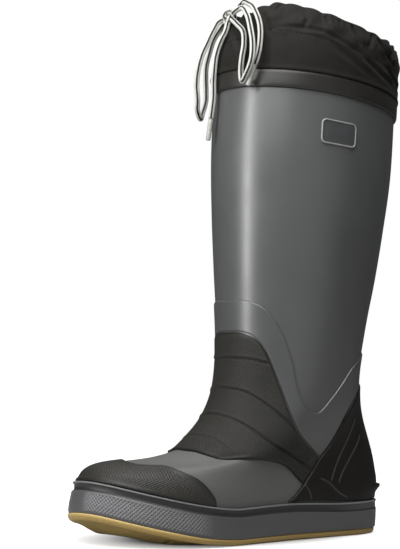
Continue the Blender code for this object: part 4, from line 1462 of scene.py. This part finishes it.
@dataclass
class KickSpur(SubAssembly):
    """Ledge at the back of the heel for pushing the boot off."""

    seat: float = 2.8
    reach: float = 5.6
    half_angle: float = 36.0
    full_angle: float = 4.0
    sink: float = 1.2
    # Level and share of the reach along the ledge's section, from below round its lip to the top
    section: tuple[Span, ...] = (
        (1.45, -0.3), (1.6, 0.06), (1.8, 0.28), (2.0, 0.58), (2.12, 0.8), (2.2, 0.93), (2.28, 0.99),
        (2.36, 1.0), (2.44, 0.98), (2.49, 0.9), (2.51, 0.7), (2.52, 0.4), (2.53, 0.1), (2.55, -0.3))
    columns: int = 121
    # Share of the reach that is left at the ends, so that the ledge keeps a thickness
    least_swell: float = 0.02

    def build(self) -> None:
        """Build the ledge, running out at both ends."""
        angles = 180.0 + np.linspace(-self.half_angle, self.half_angle, self.columns)
        swell = 1 - ease(self.full_angle, self.half_angle, np.abs(angles - 180.0))
        foot = self.seat - self.sink * (1 - swell)
        kept = np.maximum(swell, self.least_swell)
        rows = [self.last.offset(angles, level, foot + self.reach * share * kept)
                for level, share in self.section]
        skin = Skin()
        numbers = skin.grid(np.array(rows), tube=True)
        skin.patch([numbers[:, 0], numbers[::-1, -1]])
        piece = skin.build("kick_spur_ledge", self.stance, (BLACK_RUBBER,))
        self.finish_piece(piece, "black_rubber", "kick_spur")


@dataclass
class Badge(SubAssembly):
    """Blank plate with a raised rim on the shaft's outer side."""

    centre: Span = (78.5, 17.31)
    size: Span = (34.0, 21.0)
    corner: float = 4.5
    least_corner: float = 0.4
    corner_points: int = 10
    sunk: float = 0.2
    # Distance in from the border and height, from the foot of the rim to the plate
    profile: tuple[Span, ...] = (
        (0.0, -0.2), (0.05, 0.6), (0.2, 1.05), (0.5, 1.3), (0.9, 1.35), (1.2, 1.25), (1.4, 1.0),
        (1.55, 0.75), (2.0, 0.7), (4.5, 0.7), (7.0, 0.72), (10.0, 0.75))
    rim_rows: int = 7

    def ring(self, inset: float) -> Array:
        """Rounded rectangle as angles and levels.

        Args:
            inset: Distance in from the badge's border.

        Returns:
            Angles and levels in two columns.
        """
        angle, level = self.centre
        middle = self.last.surface(angle, level)
        per_degree = np.linalg.norm(self.last.surface(angle + 1, level) - middle)
        # A tenth of a level, because the levels are far apart
        per_level = np.linalg.norm(self.last.surface(angle, level + 0.1) - middle) * 10
        radius = max(self.corner - inset, self.least_corner)
        half = np.array(self.size) / 2 - inset - radius
        points = []
        for quarter, signs in enumerate(((1, 1), (-1, 1), (-1, -1), (1, -1))):
            for turn in np.radians(quarter * 90 + np.linspace(0, 90, self.corner_points)):
                x, y = half * signs + radius * np.array((math.cos(turn), math.sin(turn)))
                points.append((angle + x / per_degree, level + y / per_level))
        return np.array(points)

    def build(self) -> None:
        """Build the plate and its rim."""
        rings = [self.ring(inset) for inset, _ in self.profile]
        rows = [self.last.offset(r[:, 0], r[:, 1], CLEARANCE + height) for r, (_, height) in
                zip(rings, self.profile)]
        rows.insert(0, self.last.offset(rings[-1][:, 0], rings[-1][:, 1], -self.sunk))
        slots = np.ones(len(rows) - 1, int)
        slots[1:self.rim_rows] = 0
        skin = Skin()
        numbers = skin.grid(np.array(rows), ring=True, slots=slots)
        skin.patch([numbers[0], numbers[-1]], slot=1)
        piece = skin.build("badge_blank", self.stance, (BADGE_RIM, BADGE_PLATE))
        self.finish_piece(piece, "black_rubber", "badge")


class Crease(NamedTuple):
    """Crease of the cuff: angles and distances below the top along it, its depth and its width."""

    path: Edge
    depth: float
    width: float


CREASES = tuple(Crease(*row) for row in (
    (((30, 24), (50, 20), (65, 18), (80, 22), (92, 26)), 0.8, 1.8),
    (((84, 1), (87, 10), (90, 19)), 2.4, 2.0),
    (((101, 1), (99, 9), (96, 17)), 2.2, 1.8),
    (((106, 3), (113, 12), (124, 22)), 3.2, 2.8),
    (((118, 1), (121, 9), (119, 18)), 2.4, 2.0),
    (((134, 1), (134, 12), (129, 24)), 2.6, 2.3),
    (((90, 27), (108, 35), (125, 39)), 1.2, 2.4),
    (((68, 25), (84, 34), (102, 44)), 1.0, 3.0),
    (((52, 2), (55, 11), (53, 19)), 1.1, 1.8),
    (((36, 1), (34, 8)), 1.2, 1.5),
    (((22, 6), (30, 18), (34, 31)), 1.1, 2.2),
    (((-6, 8), (5, 20), (13, 35)), 1.3, 2.4),
    (((41, 28), (46, 39), (50, 52)), 0.7, 3.2),
    (((66, 1), (68, 9)), 1.4, 1.5),
    (((75, 1), (76, 7)), 1.2, 1.3),
    (((110, 26), (128, 32), (146, 35)), 1.5, 2.3),
    (((150, 1), (147, 12), (152, 22)), 2.2, 2.2),
    (((168, 2), (171, 12), (166, 20)), 2.0, 2.0),
    (((-25, 20), (-55, 18), (-82, 23)), 0.9, 1.8),
    (((-40, 2), (-43, 12), (-40, 22)), 1.8, 2.0),
    (((-62, 1), (-60, 12), (-66, 22)), 2.0, 2.0),
    (((-85, 1), (-88, 11), (-84, 20)), 2.2, 2.2),
    (((-104, 3), (-110, 14), (-118, 24)), 2.6, 2.6),
    (((-128, 1), (-126, 12), (-131, 22)), 2.2, 2.0),
    (((-150, 2), (-146, 14), (-152, 24)), 2.4, 2.2),
    (((-172, 2), (-168, 12), (-173, 20)), 2.0, 2.0),
    (((-100, 29), (-75, 36), (-50, 34)), 1.1, 2.6),
    (((-150, 27), (-130, 32), (-112, 31)), 1.2, 2.4),
))


@dataclass
class Collar(SubAssembly):
    """Rubber band round the shaft's top and the gathered nylon cuff that stands on it."""

    band_level: float = 17.78
    band_thickness: float = 2.0
    # Share of the band's height and of its thickness along its section
    band_section: tuple[Span, ...] = (
        (0.0, -0.1), (0.01, 0.4), (0.04, 0.75), (0.1, 0.93), (0.2, 1.0), (0.5, 1.02), (0.8, 1.0),
        (0.99, 0.99), (1.0, 0.9), (1.0, -0.1))
    cloth: float = 0.9
    front_top: float = 448.0
    back_top: float = 415.0
    front_dip: float = 12.0
    dip_angle: float = 24.0
    front_draw: float = 12.0
    back_draw: float = 5.0
    draw_power: float = 2.2
    top_power: float = 1.6
    lean_back: float = 7.0
    lean_power: float = 1.5
    overhang: float = 2.4
    hem: float = 0.7
    # Reach of the cloth's lower edge in over the band, so that no light passes between them
    tuck: float = 1.2
    gathers: int = 27
    gather_depth: float = 2.2
    pleats: int = 13
    pleat_depth: float = 1.6
    per_degree: float = 1.3
    casing: float = 24.0
    columns: int = 540
    rows: int = 64
    # Waves that draw the gathers and the pleats apart and make them uneven
    gather_drift: tuple[Wave, ...] = ((1.3, 2, 0.6), (0.9, 5, 2.1))
    pleat_drift: tuple[Wave, ...] = ((1.1, 3, 1.4), (0.8, 1, 0.5))
    unevenness: tuple[Wave, ...] = ((0.3, 3, 0.9), (0.25, 7, 0.0), (0.2, 11, 1.7))
    even_share: float = 0.75
    # How round the gathers' and the pleats' valleys are, and the mean height that is taken off both
    gather_round: float = 0.03
    pleat_round: float = 0.02
    puff_mean: float = 0.62
    # Distances below the top over which gathers, pleats and the top edge's waves die away
    gather_reach: float = 17.0
    pleat_reach: float = 34.0
    edge_reach: float = 8.0
    edge_rise: float = 1.6
    # Distance below the top in which the pleats lean by one radian
    pleat_lean: float = 26.0
    # Small slanting folds: number round the boot, drop per radian, depth, place below the top and width
    slants: int = 19
    slant_drop: float = 3.5
    slant_depth: float = 0.5
    slant_place: Span = (15.0, 9.0)
    # Height, place below the top and width of the casing's swell; depth and width of the dip at its seam
    casing_swell: Bump = (0.9, 12.0, 7.0)
    seam_dip: Span = (0.3, 1.3)
    # Place and width of the hem over the band, and the height at which the cloth is free of it
    hem_place: Span = (1.0, 2.0)
    free_height: float = 14.0
    # A crease's ends are this blunt; its shoulders' height, place and width are shares of its own
    crease_blunt: int = 4
    shoulder: Bump = (0.4, 1.9, 0.9)
    stitch: float = 3.2
    stitch_gap: float = 1.2
    stitch_radius: float = 0.22
    stitch_lift: float = 0.15
    stitch_rows: int = 7
    stitch_sides: int = 8
    # Share of a stitch's half length at which its blunt end is cut, and points that smooth its line
    stitch_end: float = 0.97
    seam_smoothing: int = 9

    def build(self) -> None:
        """Build the band, the cuff and the seams."""
        self.build_band()
        self.build_cuff()

    def build_band(self) -> None:
        """Build the band with its rounded edges."""
        angles = np.arange(360.0)
        tall = self.last.top_level - self.band_level
        rows = [self.last.offset(angles, self.band_level + tall * up, CLEARANCE + self.band_thickness * out)
                for up, out in self.band_section]
        skin = Skin()
        skin.grid(np.array(rows), ring=True, tube=True)
        piece = skin.build("collar_band_rubber", self.stance, (BAND_RUBBER,))
        self.finish_piece(piece, "black_rubber", "collar_band")

    def heights(self, angles: Array, share: float) -> Array:
        """Height of the cuff's cloth without its gathers.

        Args:
            angles: Angles round the boot.
            share: Share of the cuff's height.

        Returns:
            z at each angle.
        """
        _, front_z, _, back_z = self.last.rings[-1][:4]
        front_share = (1 + np.cos(np.radians(angles))) / 2
        front = front_z + CLEARANCE + (self.front_top - front_z) * share
        back = back_z + CLEARANCE + (self.back_top - back_z) * share
        slope = front_share + (front_share**self.top_power - front_share) * share
        dip = self.front_dip * share * np.exp(-((fold(angles) / self.dip_angle) ** 2))
        return back + (front - back) * slope - dip

    def puffed(self, phase: Array, roundness: float) -> Array:
        """Cloth puffed up between valleys, about its mean."""
        return np.sqrt(np.sin(phase / 2) ** 2 + roundness) - self.puff_mean

    def drape(self, angles: Array, share: float) -> tuple[Array, Array]:
        """Gathers of the cloth.

        Args:
            angles: Angles round the boot.
            share: Share of the cuff's height.

        Returns:
            Steps outwards and upwards at each angle.
        """
        turn = np.radians(angles)
        tall = self.heights(angles, 1.0) - self.heights(angles, 0.0)
        below = tall * (1 - share)
        above = tall * share
        gather = self.gathers * turn + waves(turn, self.gather_drift)
        pleat = self.pleats * turn + waves(turn, self.pleat_drift) + below / self.pleat_lean
        puff = self.puffed(gather, self.gather_round)
        sweep = self.puffed(pleat, self.pleat_round)
        uneven = self.even_share + waves(turn, self.unevenness)
        slant = np.sin(self.slants * turn + below / self.slant_drop) * hump(below, *self.slant_place)
        swell, *swell_place = self.casing_swell
        dip, dip_width = self.seam_dip
        out = self.gather_depth * uneven * puff * np.exp(-below / self.gather_reach)
        out = out + self.pleat_depth * uneven * sweep * np.exp(-below / self.pleat_reach)
        out = out + self.slant_depth * slant
        out = out + swell * hump(below, *swell_place) - dip * hump(below, self.casing, dip_width)
        out = out - self.creased(angles, below)
        rise = self.edge_rise * uneven * puff * np.exp(-below / self.edge_reach)
        free = ease(0, self.free_height, above)
        return out * free + self.hem * hump(above, *self.hem_place), rise * free

    def creased(self, angles: Array, below: Array) -> Array:
        """Depth of the creases that were placed by hand.

        Args:
            angles: Angles round the boot.
            below: Distance of the cloth below the cuff's top at each angle.

        Returns:
            Depths inwards at each angle; a crease's shoulders are a little proud.
        """
        flat = np.column_stack((((angles + 180) % 360 - 180) * self.per_degree, below))
        depth = np.zeros(len(angles))
        proud, *shoulder_place = self.shoulder
        for crease in CREASES:
            path = np.array(crease.path) * (self.per_degree, 1)
            reach = run_along(path)
            far = np.full(len(angles), np.inf)
            along = np.zeros(len(angles))
            for start, end, run in zip(path, path[1:], reach):
                way = end - start
                share = np.clip((flat - start) @ way / (way @ way), 0, 1)
                off = np.linalg.norm(flat - start - share[:, None] * way, axis=1)
                along = np.where(off < far, run + share * np.linalg.norm(way), along)
                far = np.minimum(off, far)
            taper = 1 - np.abs(2 * along / reach[-1] - 1) ** self.crease_blunt
            shape = hump(far / crease.width, 0, 1) - proud * hump(far / crease.width, *shoulder_place)
            depth += crease.depth * taper * shape
        return depth

    def ring(self, angles: Array, share: float, step: float) -> Array:
        """Ring of the cuff.

        Args:
            angles: Angles round the boot.
            share: Share of the cuff's height.
            step: Distance out from the shaft's top edge.

        Returns:
            Points in the order of the angles.
        """
        turn = np.radians(angles)
        front_x, _, back_x, _, half_width = self.last.rings[-1][:5]
        front_share = (1 + np.cos(turn)) / 2
        draw = self.back_draw + (self.front_draw - self.back_draw) * front_share
        out, rise = self.drape(angles, share)
        grow = step - draw * share**self.draw_power + out
        middle = (front_x + back_x) / 2 - self.lean_back * share**self.lean_power
        x = middle + ((front_x - back_x) / 2 + grow) * np.cos(turn)
        y = (half_width + grow) * np.sin(turn)
        return np.column_stack((x, y, self.heights(angles, share) + rise))

    def build_cuff(self) -> None:
        angles = 180.0 + np.arange(self.columns) * 360.0 / self.columns
        inside = self.overhang - self.cloth
        shares = np.linspace(0, 1, self.rows)
        rows = [self.ring(angles, share, self.overhang) for share in shares]
        edge = (rows[-1] + self.ring(angles, 1.0, inside)) / 2
        edge[:, 2] += self.cloth / 2
        rows.append(edge)
        rows += [self.ring(angles, share, inside) for share in shares[::-2]]
        rows.append(self.ring(angles, 0.0, inside - self.tuck) - (0, 0, CLEARANCE))
        skin = Skin()
        skin.grid(np.array(rows), ring=True, tube=True)
        cuff = skin.build("cuff_cloth", self.stance, (NYLON,))
        self.finish_piece(cuff, "black_nylon", "cuff")
        outside = np.array(rows[:len(shares)])
        seam = self.build_seam("cuff_casing_stitches", outside)

    def cut(self, outside: Array) -> tuple[float, float, float]:
        """Flat size of the cuff's cloth before it was sewn.

        Args:
            outside: Rings of the cloth's outside.

        Returns:
            Width, length and area of the cut in metres.
        """
        whole = np.concatenate((outside, outside[:, :1]), 1)
        wide = np.linalg.norm(np.diff(whole[0], axis=0), axis=1).sum() * MM
        runs = np.linalg.norm(np.diff(outside, axis=0), axis=2).sum(0) * MM
        return float(wide), float(runs.max()), float(wide * runs.mean())

    def build_seam(self, name: str, outside: Array) -> Piece:
        """Build the row of stitches that closes the casing.

        Args:
            name: Name of the piece.
            outside: Rings of the cloth's outside.

        Returns:
            The piece.
        """
        drop = outside[-1, :, 2][None] - outside[:, :, 2]
        row = np.abs(drop - self.casing).argmin(0)
        line = outside[row, np.arange(outside.shape[1])]
        line[:, 2] = outside[-1, :, 2] - self.casing
        kernel = np.ones(self.seam_smoothing) / self.seam_smoothing
        half = self.seam_smoothing // 2
        line = np.column_stack([np.convolve(np.pad(c, half, "wrap"), kernel, "valid") for c in line.T])
        line = np.concatenate((line, line[:1]))
        reach = run_along(line)
        ends = np.linspace(-self.stitch_end, self.stitch_end, self.stitch_rows)
        plump = np.sqrt(1 - ends**4)
        thick = (self.stitch_radius * plump)[:, None, None]
        lift = (self.stitch_lift * plump)[:, None, None]
        turn = np.linspace(0, math.tau, self.stitch_sides, endpoint=False)[None, :, None]
        skin = Skin()
        for start in np.arange(0, reach[-1] - self.stitch, self.stitch + self.stitch_gap):
            at = start + self.stitch * np.linspace(0, 1, self.stitch_rows)
            middle = np.column_stack([np.interp(at, reach, c) for c in line.T])
            along = middle[-1] - middle[0]
            along /= np.linalg.norm(along)
            out = np.cross(along, (0, 0, 1))
            up = np.cross(out, along)
            rings = middle[:, None] + lift * out + thick * (np.cos(turn) * out + np.sin(turn) * up)
            numbers = skin.grid(rings, ring=True)
            skin.patch([numbers[0], numbers[-1, ::-1]])
        return skin.build(name, self.stance, (THREAD,))


class CordEnd(Enum):
    """What a stretch of the drawcord ends in."""

    KNOT = "knot"
    AGLET = "fitting"


@dataclass
class Drawcord(SubAssembly):
    """Drawcord tied in a bow in front of the cuff: the knot, two loops and two ends with their aglets."""

    diameter: float = 4.6
    knot_radius: float = 7.0
    aglet_length: float = 18.0
    aglet_diameter: float = 4.2
    # Share of the aglet's length and of its diameter along it
    aglet_section: tuple[Span, ...] = (
        (0.0, 0.8), (0.01, 0.96), (0.03, 1.0), (0.2, 0.99), (0.4, 0.98), (0.6, 0.98), (0.8, 0.98),
        (0.94, 0.97), (0.98, 0.9), (1.0, 0.7))
    # Radius of the knot's ring and of the winding round it, the cord's diameter, turns round and through
    knot_ring: float = 3.8
    knot_wind: float = 1.8
    knot_cord: float = 4.4
    knot_turns: tuple[int, int] = (2, 3)
    # How much deeper and wider than round the knot is pulled
    knot_pull: Span = (1.25, 1.1)
    knot_points: int = 120
    sides: int = 16
    spacing: float = 1.5
    knot: tuple[float, float, float] = (-6.4, -11.4, 437.4)
    tracer_side: Array = field(default_factory=lambda: np.array((0.588, 0.809, 0.0)))
    loops: dict[str, Route] = field(default_factory=lambda: {
        "cord_loop_right": (
            (-5, -2, 440), (-5, 7, 441), (-2, 18, 433), (3, 29, 419), (7, 37, 402), (10, 39, 389),
            (11, 34, 379), (10, 27, 374), (9, 24, 381), (8, 24, 393), (4, 22, 406), (1, 17, 418),
            (-1, 6, 427)),
        "cord_loop_left": (
            (2, -14.5, 433), (7, -16, 425), (13, -17, 413), (18, -18, 402), (21, -19, 390),
            (22, -20, 377), (21, -20, 364), (19, -23, 356), (13, -27, 350), (7, -32, 357), (3, -33, 367),
            (2, -34, 376), (3, -33, 387), (4, -31, 397), (3, -28, 407), (1, -25, 418), (-4, -19, 430)),
    })
    ends: dict[str, Route] = field(default_factory=lambda: {
        "cord_end_right": (
            (-13, -2, 449), (-12, 9, 445), (-7, 24, 434), (-4, 33, 421), (-1, 37, 408), (2, 38, 396),
            (4, 36, 387)),
        "cord_end_left": (
            (0, -8, 424), (5, -9, 414), (9, -10, 402), (11, -10, 389), (11, -11, 377), (11, -11, 368),
            (12, -11, 359), (13, -12, 348)),
    })

    def leave_knot(self, point: Sequence[float]) -> Array:
        """Place on the knot's outside on the straight way to a point."""
        out = np.asarray(point, float) - self.knot
        return self.knot + out / np.linalg.norm(out) * (self.knot_radius + CLEARANCE)

    def route(self, points: Sequence[Sequence[float]]) -> Array:
        """Closely spaced points on a smooth curve.

        Args:
            points: Points that the curve passes through.

        Returns:
            Points along the curve.
        """
        points = np.asarray(points, float)
        reach = run_along(points)
        at = np.linspace(0, reach[-1], round(reach[-1] / self.spacing) + 1)
        return np.column_stack([smooth(reach, points[:, axis], at) for axis in range(3)])

    def tube(self, line: Array, thickness: Any, closed: bool = False) -> Skin:
        """Round tube whose tracer faces the boot's outer front.

        Args:
            line: Points down the tube's middle.
            thickness: Diameter, one for all or one for each point.
            closed: Whether the line's last point joins its first.

        Returns:
            A skin that holds the tube.
        """
        if closed:
            along = np.roll(line, -1, 0) - np.roll(line, 1, 0)
        else:
            along = np.gradient(line, axis=0)
        along /= np.linalg.norm(along, axis=1, keepdims=True)
        out = self.tracer_side - (along @ self.tracer_side)[:, None] * along
        out /= np.linalg.norm(out, axis=1, keepdims=True)
        side = np.cross(along, out)
        turn = math.pi + np.arange(self.sides) * math.tau / self.sides
        radius = np.broadcast_to(thickness, len(line))[:, None, None] / 2
        points = line[:, None] + radius * (np.cos(turn)[None, :, None] * out[:, None]
                                           + np.sin(turn)[None, :, None] * side[:, None])
        skin = Skin()
        numbers = skin.grid(points, ring=True, tube=closed)
        if not closed:
            skin.patch([numbers[0], numbers[-1, ::-1]])
        return skin

    def build(self) -> None:
        knot = self.build_knot()
        for name, points in self.loops.items():
            line = self.route((self.leave_knot(points[0]), *points, self.leave_knot(points[-1])))
            self.build_cord(name, line, CordEnd.KNOT, [knot] if name.endswith("right") else [])
        for name, points in self.ends.items():
            line = self.route((self.leave_knot(points[0]), *points))
            self.build_cord(name, line, CordEnd.AGLET, [self.build_aglet(name, line)])

    def build_cord(self, name: str, line: Array, end: CordEnd, with_pieces: list[Piece]) -> None:
        """Args:
            name: CAD node that it replaces.
            line: Points down its middle.
            end: Not used.
            with_pieces: Not used.
        """
        piece = self.tube(line, self.diameter).build(name + "_braid", self.stance, (CORD_BRAID,))
        self.finish_piece(piece, "cord_braid", name)
        path = self.stance.place(line)

    def build_aglet(self, name: str, line: Array) -> Piece:
        """Build the rolled film tip at a cord's end.

        Args:
            name: CAD node of the cord.
            line: Points down the cord's middle.

        Returns:
            The piece.
        """
        tail = line[-1] - line[-3]
        tail /= np.linalg.norm(tail)
        shares, sizes = np.array(self.aglet_section).T
        points = line[-1] + tail * (CLEARANCE + self.aglet_length * shares[:, None])
        node = name.replace("end", "aglet")
        tip = self.tube(points, sizes * self.aglet_diameter)
        piece = tip.build(node + "_film", self.stance, (AGLET_FILM,))
        return self.finish_piece(piece, "aglet_film", node)

    def build_knot(self) -> Piece:
        """Build the knot as one cord wound three times through itself.

        Returns:
            The piece.
        """
        turn = np.linspace(0, math.tau, self.knot_points, endpoint=False)
        around, through = self.knot_turns
        deeper, wider = self.knot_pull
        flat = self.knot_ring + self.knot_wind * np.cos(through * turn)
        outward = self.knot_wind * deeper * np.sin(through * turn)
        sideways = flat * np.cos(around * turn) * wider
        upward = flat * np.sin(around * turn)
        line = np.array(self.knot) + np.column_stack((outward, sideways, upward))
        wound = self.tube(line, self.knot_cord, closed=True)
        piece = wound.build("cord_knot_braid", self.stance, (CORD_BRAID,))
        return self.finish_piece(piece, "cord_braid", "cord_knot")


@dataclass
class Softbox:
    """Soft studio light; seen from the boot, its azimuth runs from the camera's direction to the left."""

    name: str
    azimuth: float
    elevation: float
    distance: float
    size: Span
    power: float


@dataclass
class Studio(SubAssembly):
    """Pale floor, soft lights, white surround and the camera."""

    camera_distance: float = 1050.0
    camera_side: float = -26.72
    camera_height: float = 166.1
    camera_pitch: float = 2.77
    view_azimuth: float = 144.0
    focal_pixels: float = 1260.32
    photo_height: int = 549
    sensor: float = 36.0
    floor_radius: float = 1.2
    floor_sides: int = 96
    surround: float = 1.0
    surround_fill: float = 0.08
    target: tuple[float, float, float] = (0.0, 0.0, 0.2)
    lights: tuple[Softbox, ...] = (
        Softbox("key_softbox", 22.0, 54.0, 0.59, (0.55, 0.55), 4.8),
        Softbox("strip_softbox", 50.0, 2.0, 1.3, (0.09, 1.0), 14.0),
        Softbox("top_softbox", -35.0, 74.0, 1.4, (1.0, 1.0), 14.0),
        Softbox("fill_softbox", -40.0, 0.0, 1.3, (1.0, 0.5), 0.7),
        Softbox("rear_softbox", 180.0, 50.0, 1.3, (1.0, 1.0), 2.5),
    )

    @cached_property
    def axes(self) -> tuple[Array, Array]:
        """Level directions of the view.

        Returns:
            To the camera and to the photo's right, in the last's frame.
        """
        a = math.radians(self.view_azimuth)
        back = np.array((math.sin(a), -math.cos(a), 0.0))
        return back, np.array((math.cos(a), math.sin(a), 0.0))

    def build(self) -> None:
        """Build the floor, the surround, the lights and the camera."""
        self.build_floor()
        self.build_surround()
        for light in self.lights:
            self.build_light(light)
        self.build_camera()

    def build_floor(self) -> None:
        """Lay a round sheet of studio paper under the boot."""
        mesh = bpy.data.meshes.new("studio_floor")
        turn = np.linspace(0, math.tau, self.floor_sides, endpoint=False)
        rim = [(self.floor_radius * math.cos(t), self.floor_radius * math.sin(t), 0.0) for t in turn]
        mesh.from_pydata(rim, [], [list(range(len(rim)))])
        mesh.materials.append(PAPER.make())
        floor = bpy.data.objects.new("studio_floor", mesh)
        bpy.context.scene.collection.objects.link(floor)

    def build_surround(self) -> None:
        """Surround the boot with white that lights it softly."""
        world = bpy.data.worlds.new("studio_surround")
        world.use_nodes = True
        tree = world.node_tree
        shade = tree.nodes["Background"]
        shade.inputs["Color"].default_value = linear("#ffffff")
        seen = add_node(tree, "ShaderNodeLightPath", {}, {})
        fill = {"To Min": self.surround_fill, "To Max": self.surround}
        strength = add_node(tree, "ShaderNodeMapRange", fill,
                            {"Value": seen.outputs["Is Camera Ray"]})
        tree.links.new(strength.outputs["Result"], shade.inputs["Strength"])
        bpy.context.scene.world = world
        # Colours are matched to a photograph, so they are shown as they are and white stays white.
        bpy.context.scene.view_settings.view_transform = "Standard"

    def build_light(self, box: Softbox) -> None:
        """Hang one soft light that faces the boot.

        Args:
            box: Its place, size and power.
        """
        back, right = self.axes
        a, e = math.radians(box.azimuth), math.radians(box.elevation)
        level = back * math.cos(a) - right * math.sin(a)
        away = Vector(level * math.cos(e) + np.array((0, 0, math.sin(e))))
        lamp = bpy.data.lights.new(box.name, "AREA")
        lamp.shape = "RECTANGLE"
        lamp.size, lamp.size_y = box.size
        lamp.energy = box.power
        light = bpy.data.objects.new(box.name, lamp)
        light.location = Vector(self.target) + away * box.distance
        light.rotation_euler = (-away).to_track_quat("-Z", "Y").to_euler()
        bpy.context.scene.collection.objects.link(light)

    def build_camera(self) -> None:
        """Stand the camera where the photograph was taken from."""
        back, right = self.axes
        pitch = math.radians(self.camera_pitch)
        up = np.array((0, 0, 1.0))
        place = back * self.camera_distance + right * self.camera_side + up * self.camera_height
        z_axis = self.stance.direct(back * math.cos(pitch) - up * math.sin(pitch))
        x_axis = self.stance.direct(right)
        y_axis = z_axis.cross(x_axis)
        lens = bpy.data.cameras.new("photo_camera")
        lens.sensor_width = self.sensor
        lens.lens = self.focal_pixels * self.sensor / self.photo_height
        camera = bpy.data.objects.new("photo_camera", lens)
        turn = Matrix((x_axis, y_axis, z_axis)).transposed().to_4x4()
        camera.matrix_world = Matrix.Translation(Vector(self.stance.place(place))) @ turn
        bpy.context.scene.collection.objects.link(camera)
        bpy.context.scene.camera = camera


TOE_CAP_FOOT = ((0, 1.3), (20, 1.27), (40, 1.22), (68, 1.15))
TOE_CAP_EDGE = ((68, 1.15), (66, 2.1), (58, 3.6), (43, 4.6), (25, 5.55), (13, 6.0), (0, 6.2))
GUARD_TOP = ((0, 13.25), (21, 13.2), (32, 13.0), (39, 12.65))
GUARD_SIDE = ((39, 12.65), (46, 12.05), (59, 10.85), (77, 9.2), (93, 7.65), (104, 6.3), (111, 5.4))
GUARD_REAR = ((111, 5.4), (109, 4.25), (106, 3.2))
GUARD_FRONT = (
    (106, 3.2), (99, 4.3), (93, 4.9), (86, 5.3), (75, 5.8), (54, 6.65), (32, 7.9), (13, 8.4), (0, 8.45))
COUNTER_FOOT = ((180, 0.86), (150, 0.86), (134, 0.9), (120, 1.08), (109, 1.25), (101, 1.3))
COUNTER_FRONT = ((101, 1.3), (106.7, 3.2), (109.7, 4.25), (111.8, 5.4))
COUNTER_TOP = (
    (111.8, 5.4), (115, 6.7), (117.5, 8.2), (121.5, 9.35), (129, 10.2), (140, 10.75), (158, 11.2),
    (180, 11.35))
PANEL_OUTER = (
    (0.2, 14.15), (23, 14.15), (37, 13.95), (49, 13.35), (58, 12.5), (69, 11.05), (78, 10.35), (90, 9.95),
    (98, 10.6), (107, 11.35), (117, 12.0), (134, 12.45), (158, 12.75), (179.8, 12.8))
PANEL_HEEL_SIDE = (
    (179.8, 11.4), (158, 11.25), (140, 10.8), (129, 10.25), (121, 9.4), (117, 8.25), (114.5, 6.75),
    (111.4, 5.5))
PANEL_GUARD_SIDE = (
    (111.4, 5.5), (104.4, 6.37), (93.4, 7.72), (77.4, 9.27), (59.4, 10.92), (46.4, 12.12), (39.3, 12.71))
PANEL_GUARD_TOP = ((39.3, 12.71), (32.3, 13.05), (21, 13.25), (0.2, 13.3))
GUARD_RIBS = (
    ((0, 12.5), (15, 12.5), (30, 12.45), (48, 12.25)),
    ((0, 11.45), (29.5, 11.25), (47, 10.75), (67.5, 9.85), (84, 8.85)),
    ((0, 10.4), (24, 10.2), (45.5, 9.57), (77.5, 7.6), (99.5, 5.45), (114, 3.95)),
)
GUARD_FOLD = ((0, 9.35), (17.5, 9.22), (33, 8.75), (46, 8.05))
COUNTER_RIBS = (
    ((134, 8.9), (132.5, 8.55), (124.5, 6.02), (120.5, 3.55), (120, 3.2)),
    ((140.5, 7.2), (139, 6.82), (131, 5.15), (125, 3.3), (124.5, 3.0)),
    ((113.5, 3.65), (119, 3.07), (124.5, 2.12), (132, 1.17)),
    ((103.5, 3.4), (107, 3.0), (112, 1.2)),
)


def both_sides(path: Edge) -> Edge:
    """Path from the boot's front carried round to its other side."""
    return tuple((-angle, level) for angle, level in reversed(path)) + path[1:]


def overlays(last: Last, stance: Stance) -> list[Overlay]:
    """The rubber sheets moulded on the upper.

    Args:
        last: The boot's last.
        stance: How it stands in the frame.

    Returns:
        Toe cap, instep guard, heel counter and ankle panel.
    """
    heel_ribs = COUNTER_RIBS + tuple(tuple((360 - a, level) for a, level in rib) for rib in COUNTER_RIBS)
    return [
        Overlay(last, stance, "toe_cap_rubber", ("toe_cap",), finish=TOE_RUBBER, limit=68.0,
                lower=(TOE_CAP_FOOT,), upper=(TOE_CAP_EDGE,), step=0.6, rows=60),
        Overlay(last, stance, "instep_guard_rubber", ("instep_guard",), finish=GUARD_RUBBER, limit=111.0,
                lower=(GUARD_REAR, GUARD_FRONT), upper=(GUARD_TOP, GUARD_SIDE), rows=130,
                ribs=(*(Rib(both_sides(path)) for path in GUARD_RIBS),
                      Rib(both_sides(GUARD_FOLD), height=0.25, groove=0.5))),
        Overlay(last, stance, "heel_counter_rubber", ("heel_counter",), finish=COUNTER_RUBBER,
                centre=Centre.HEEL, limit=101.0, lower=(COUNTER_FOOT,), upper=(COUNTER_FRONT, COUNTER_TOP),
                thickness=2.2, rounding=1.6, step=0.7, rows=110, rib_crest_highlight=True,
                ribs=tuple(Rib(path, height=0.8, width=0.75, groove=0.0) for path in heel_ribs)),
        Overlay(last, stance, "ankle_panel_rubber", ("ankle_panel_outer", "ankle_panel_inner"), "grey_rubber",
                PANEL_RUBBER, Centre.ALL_ROUND, lower=(PANEL_GUARD_TOP, PANEL_GUARD_SIDE, PANEL_HEEL_SIDE),
                upper=(PANEL_OUTER,), thickness=1.0, rounding=0.9, rows=26),
    ]


def main() -> None:
    """Build the boot's sub-assemblies in order, then the studio."""
    logging.basicConfig(level=logging.INFO, format="%(name)s: %(message)s")
    last = Last()
    stance = Stance.from_frame(last.floor_tilt, "cord_knot", Drawcord.knot)
    pieces = [Sole(last, stance), Upper(last, stance), *overlays(last, stance), KickSpur(last, stance),
              Badge(last, stance), Collar(last, stance), Drawcord(last, stance), Studio(last, stance)]
    for piece in pieces:
        piece.build()
        LOG.info("%s is built", type(piece).__name__)


if __name__ == "__main__":
    main()
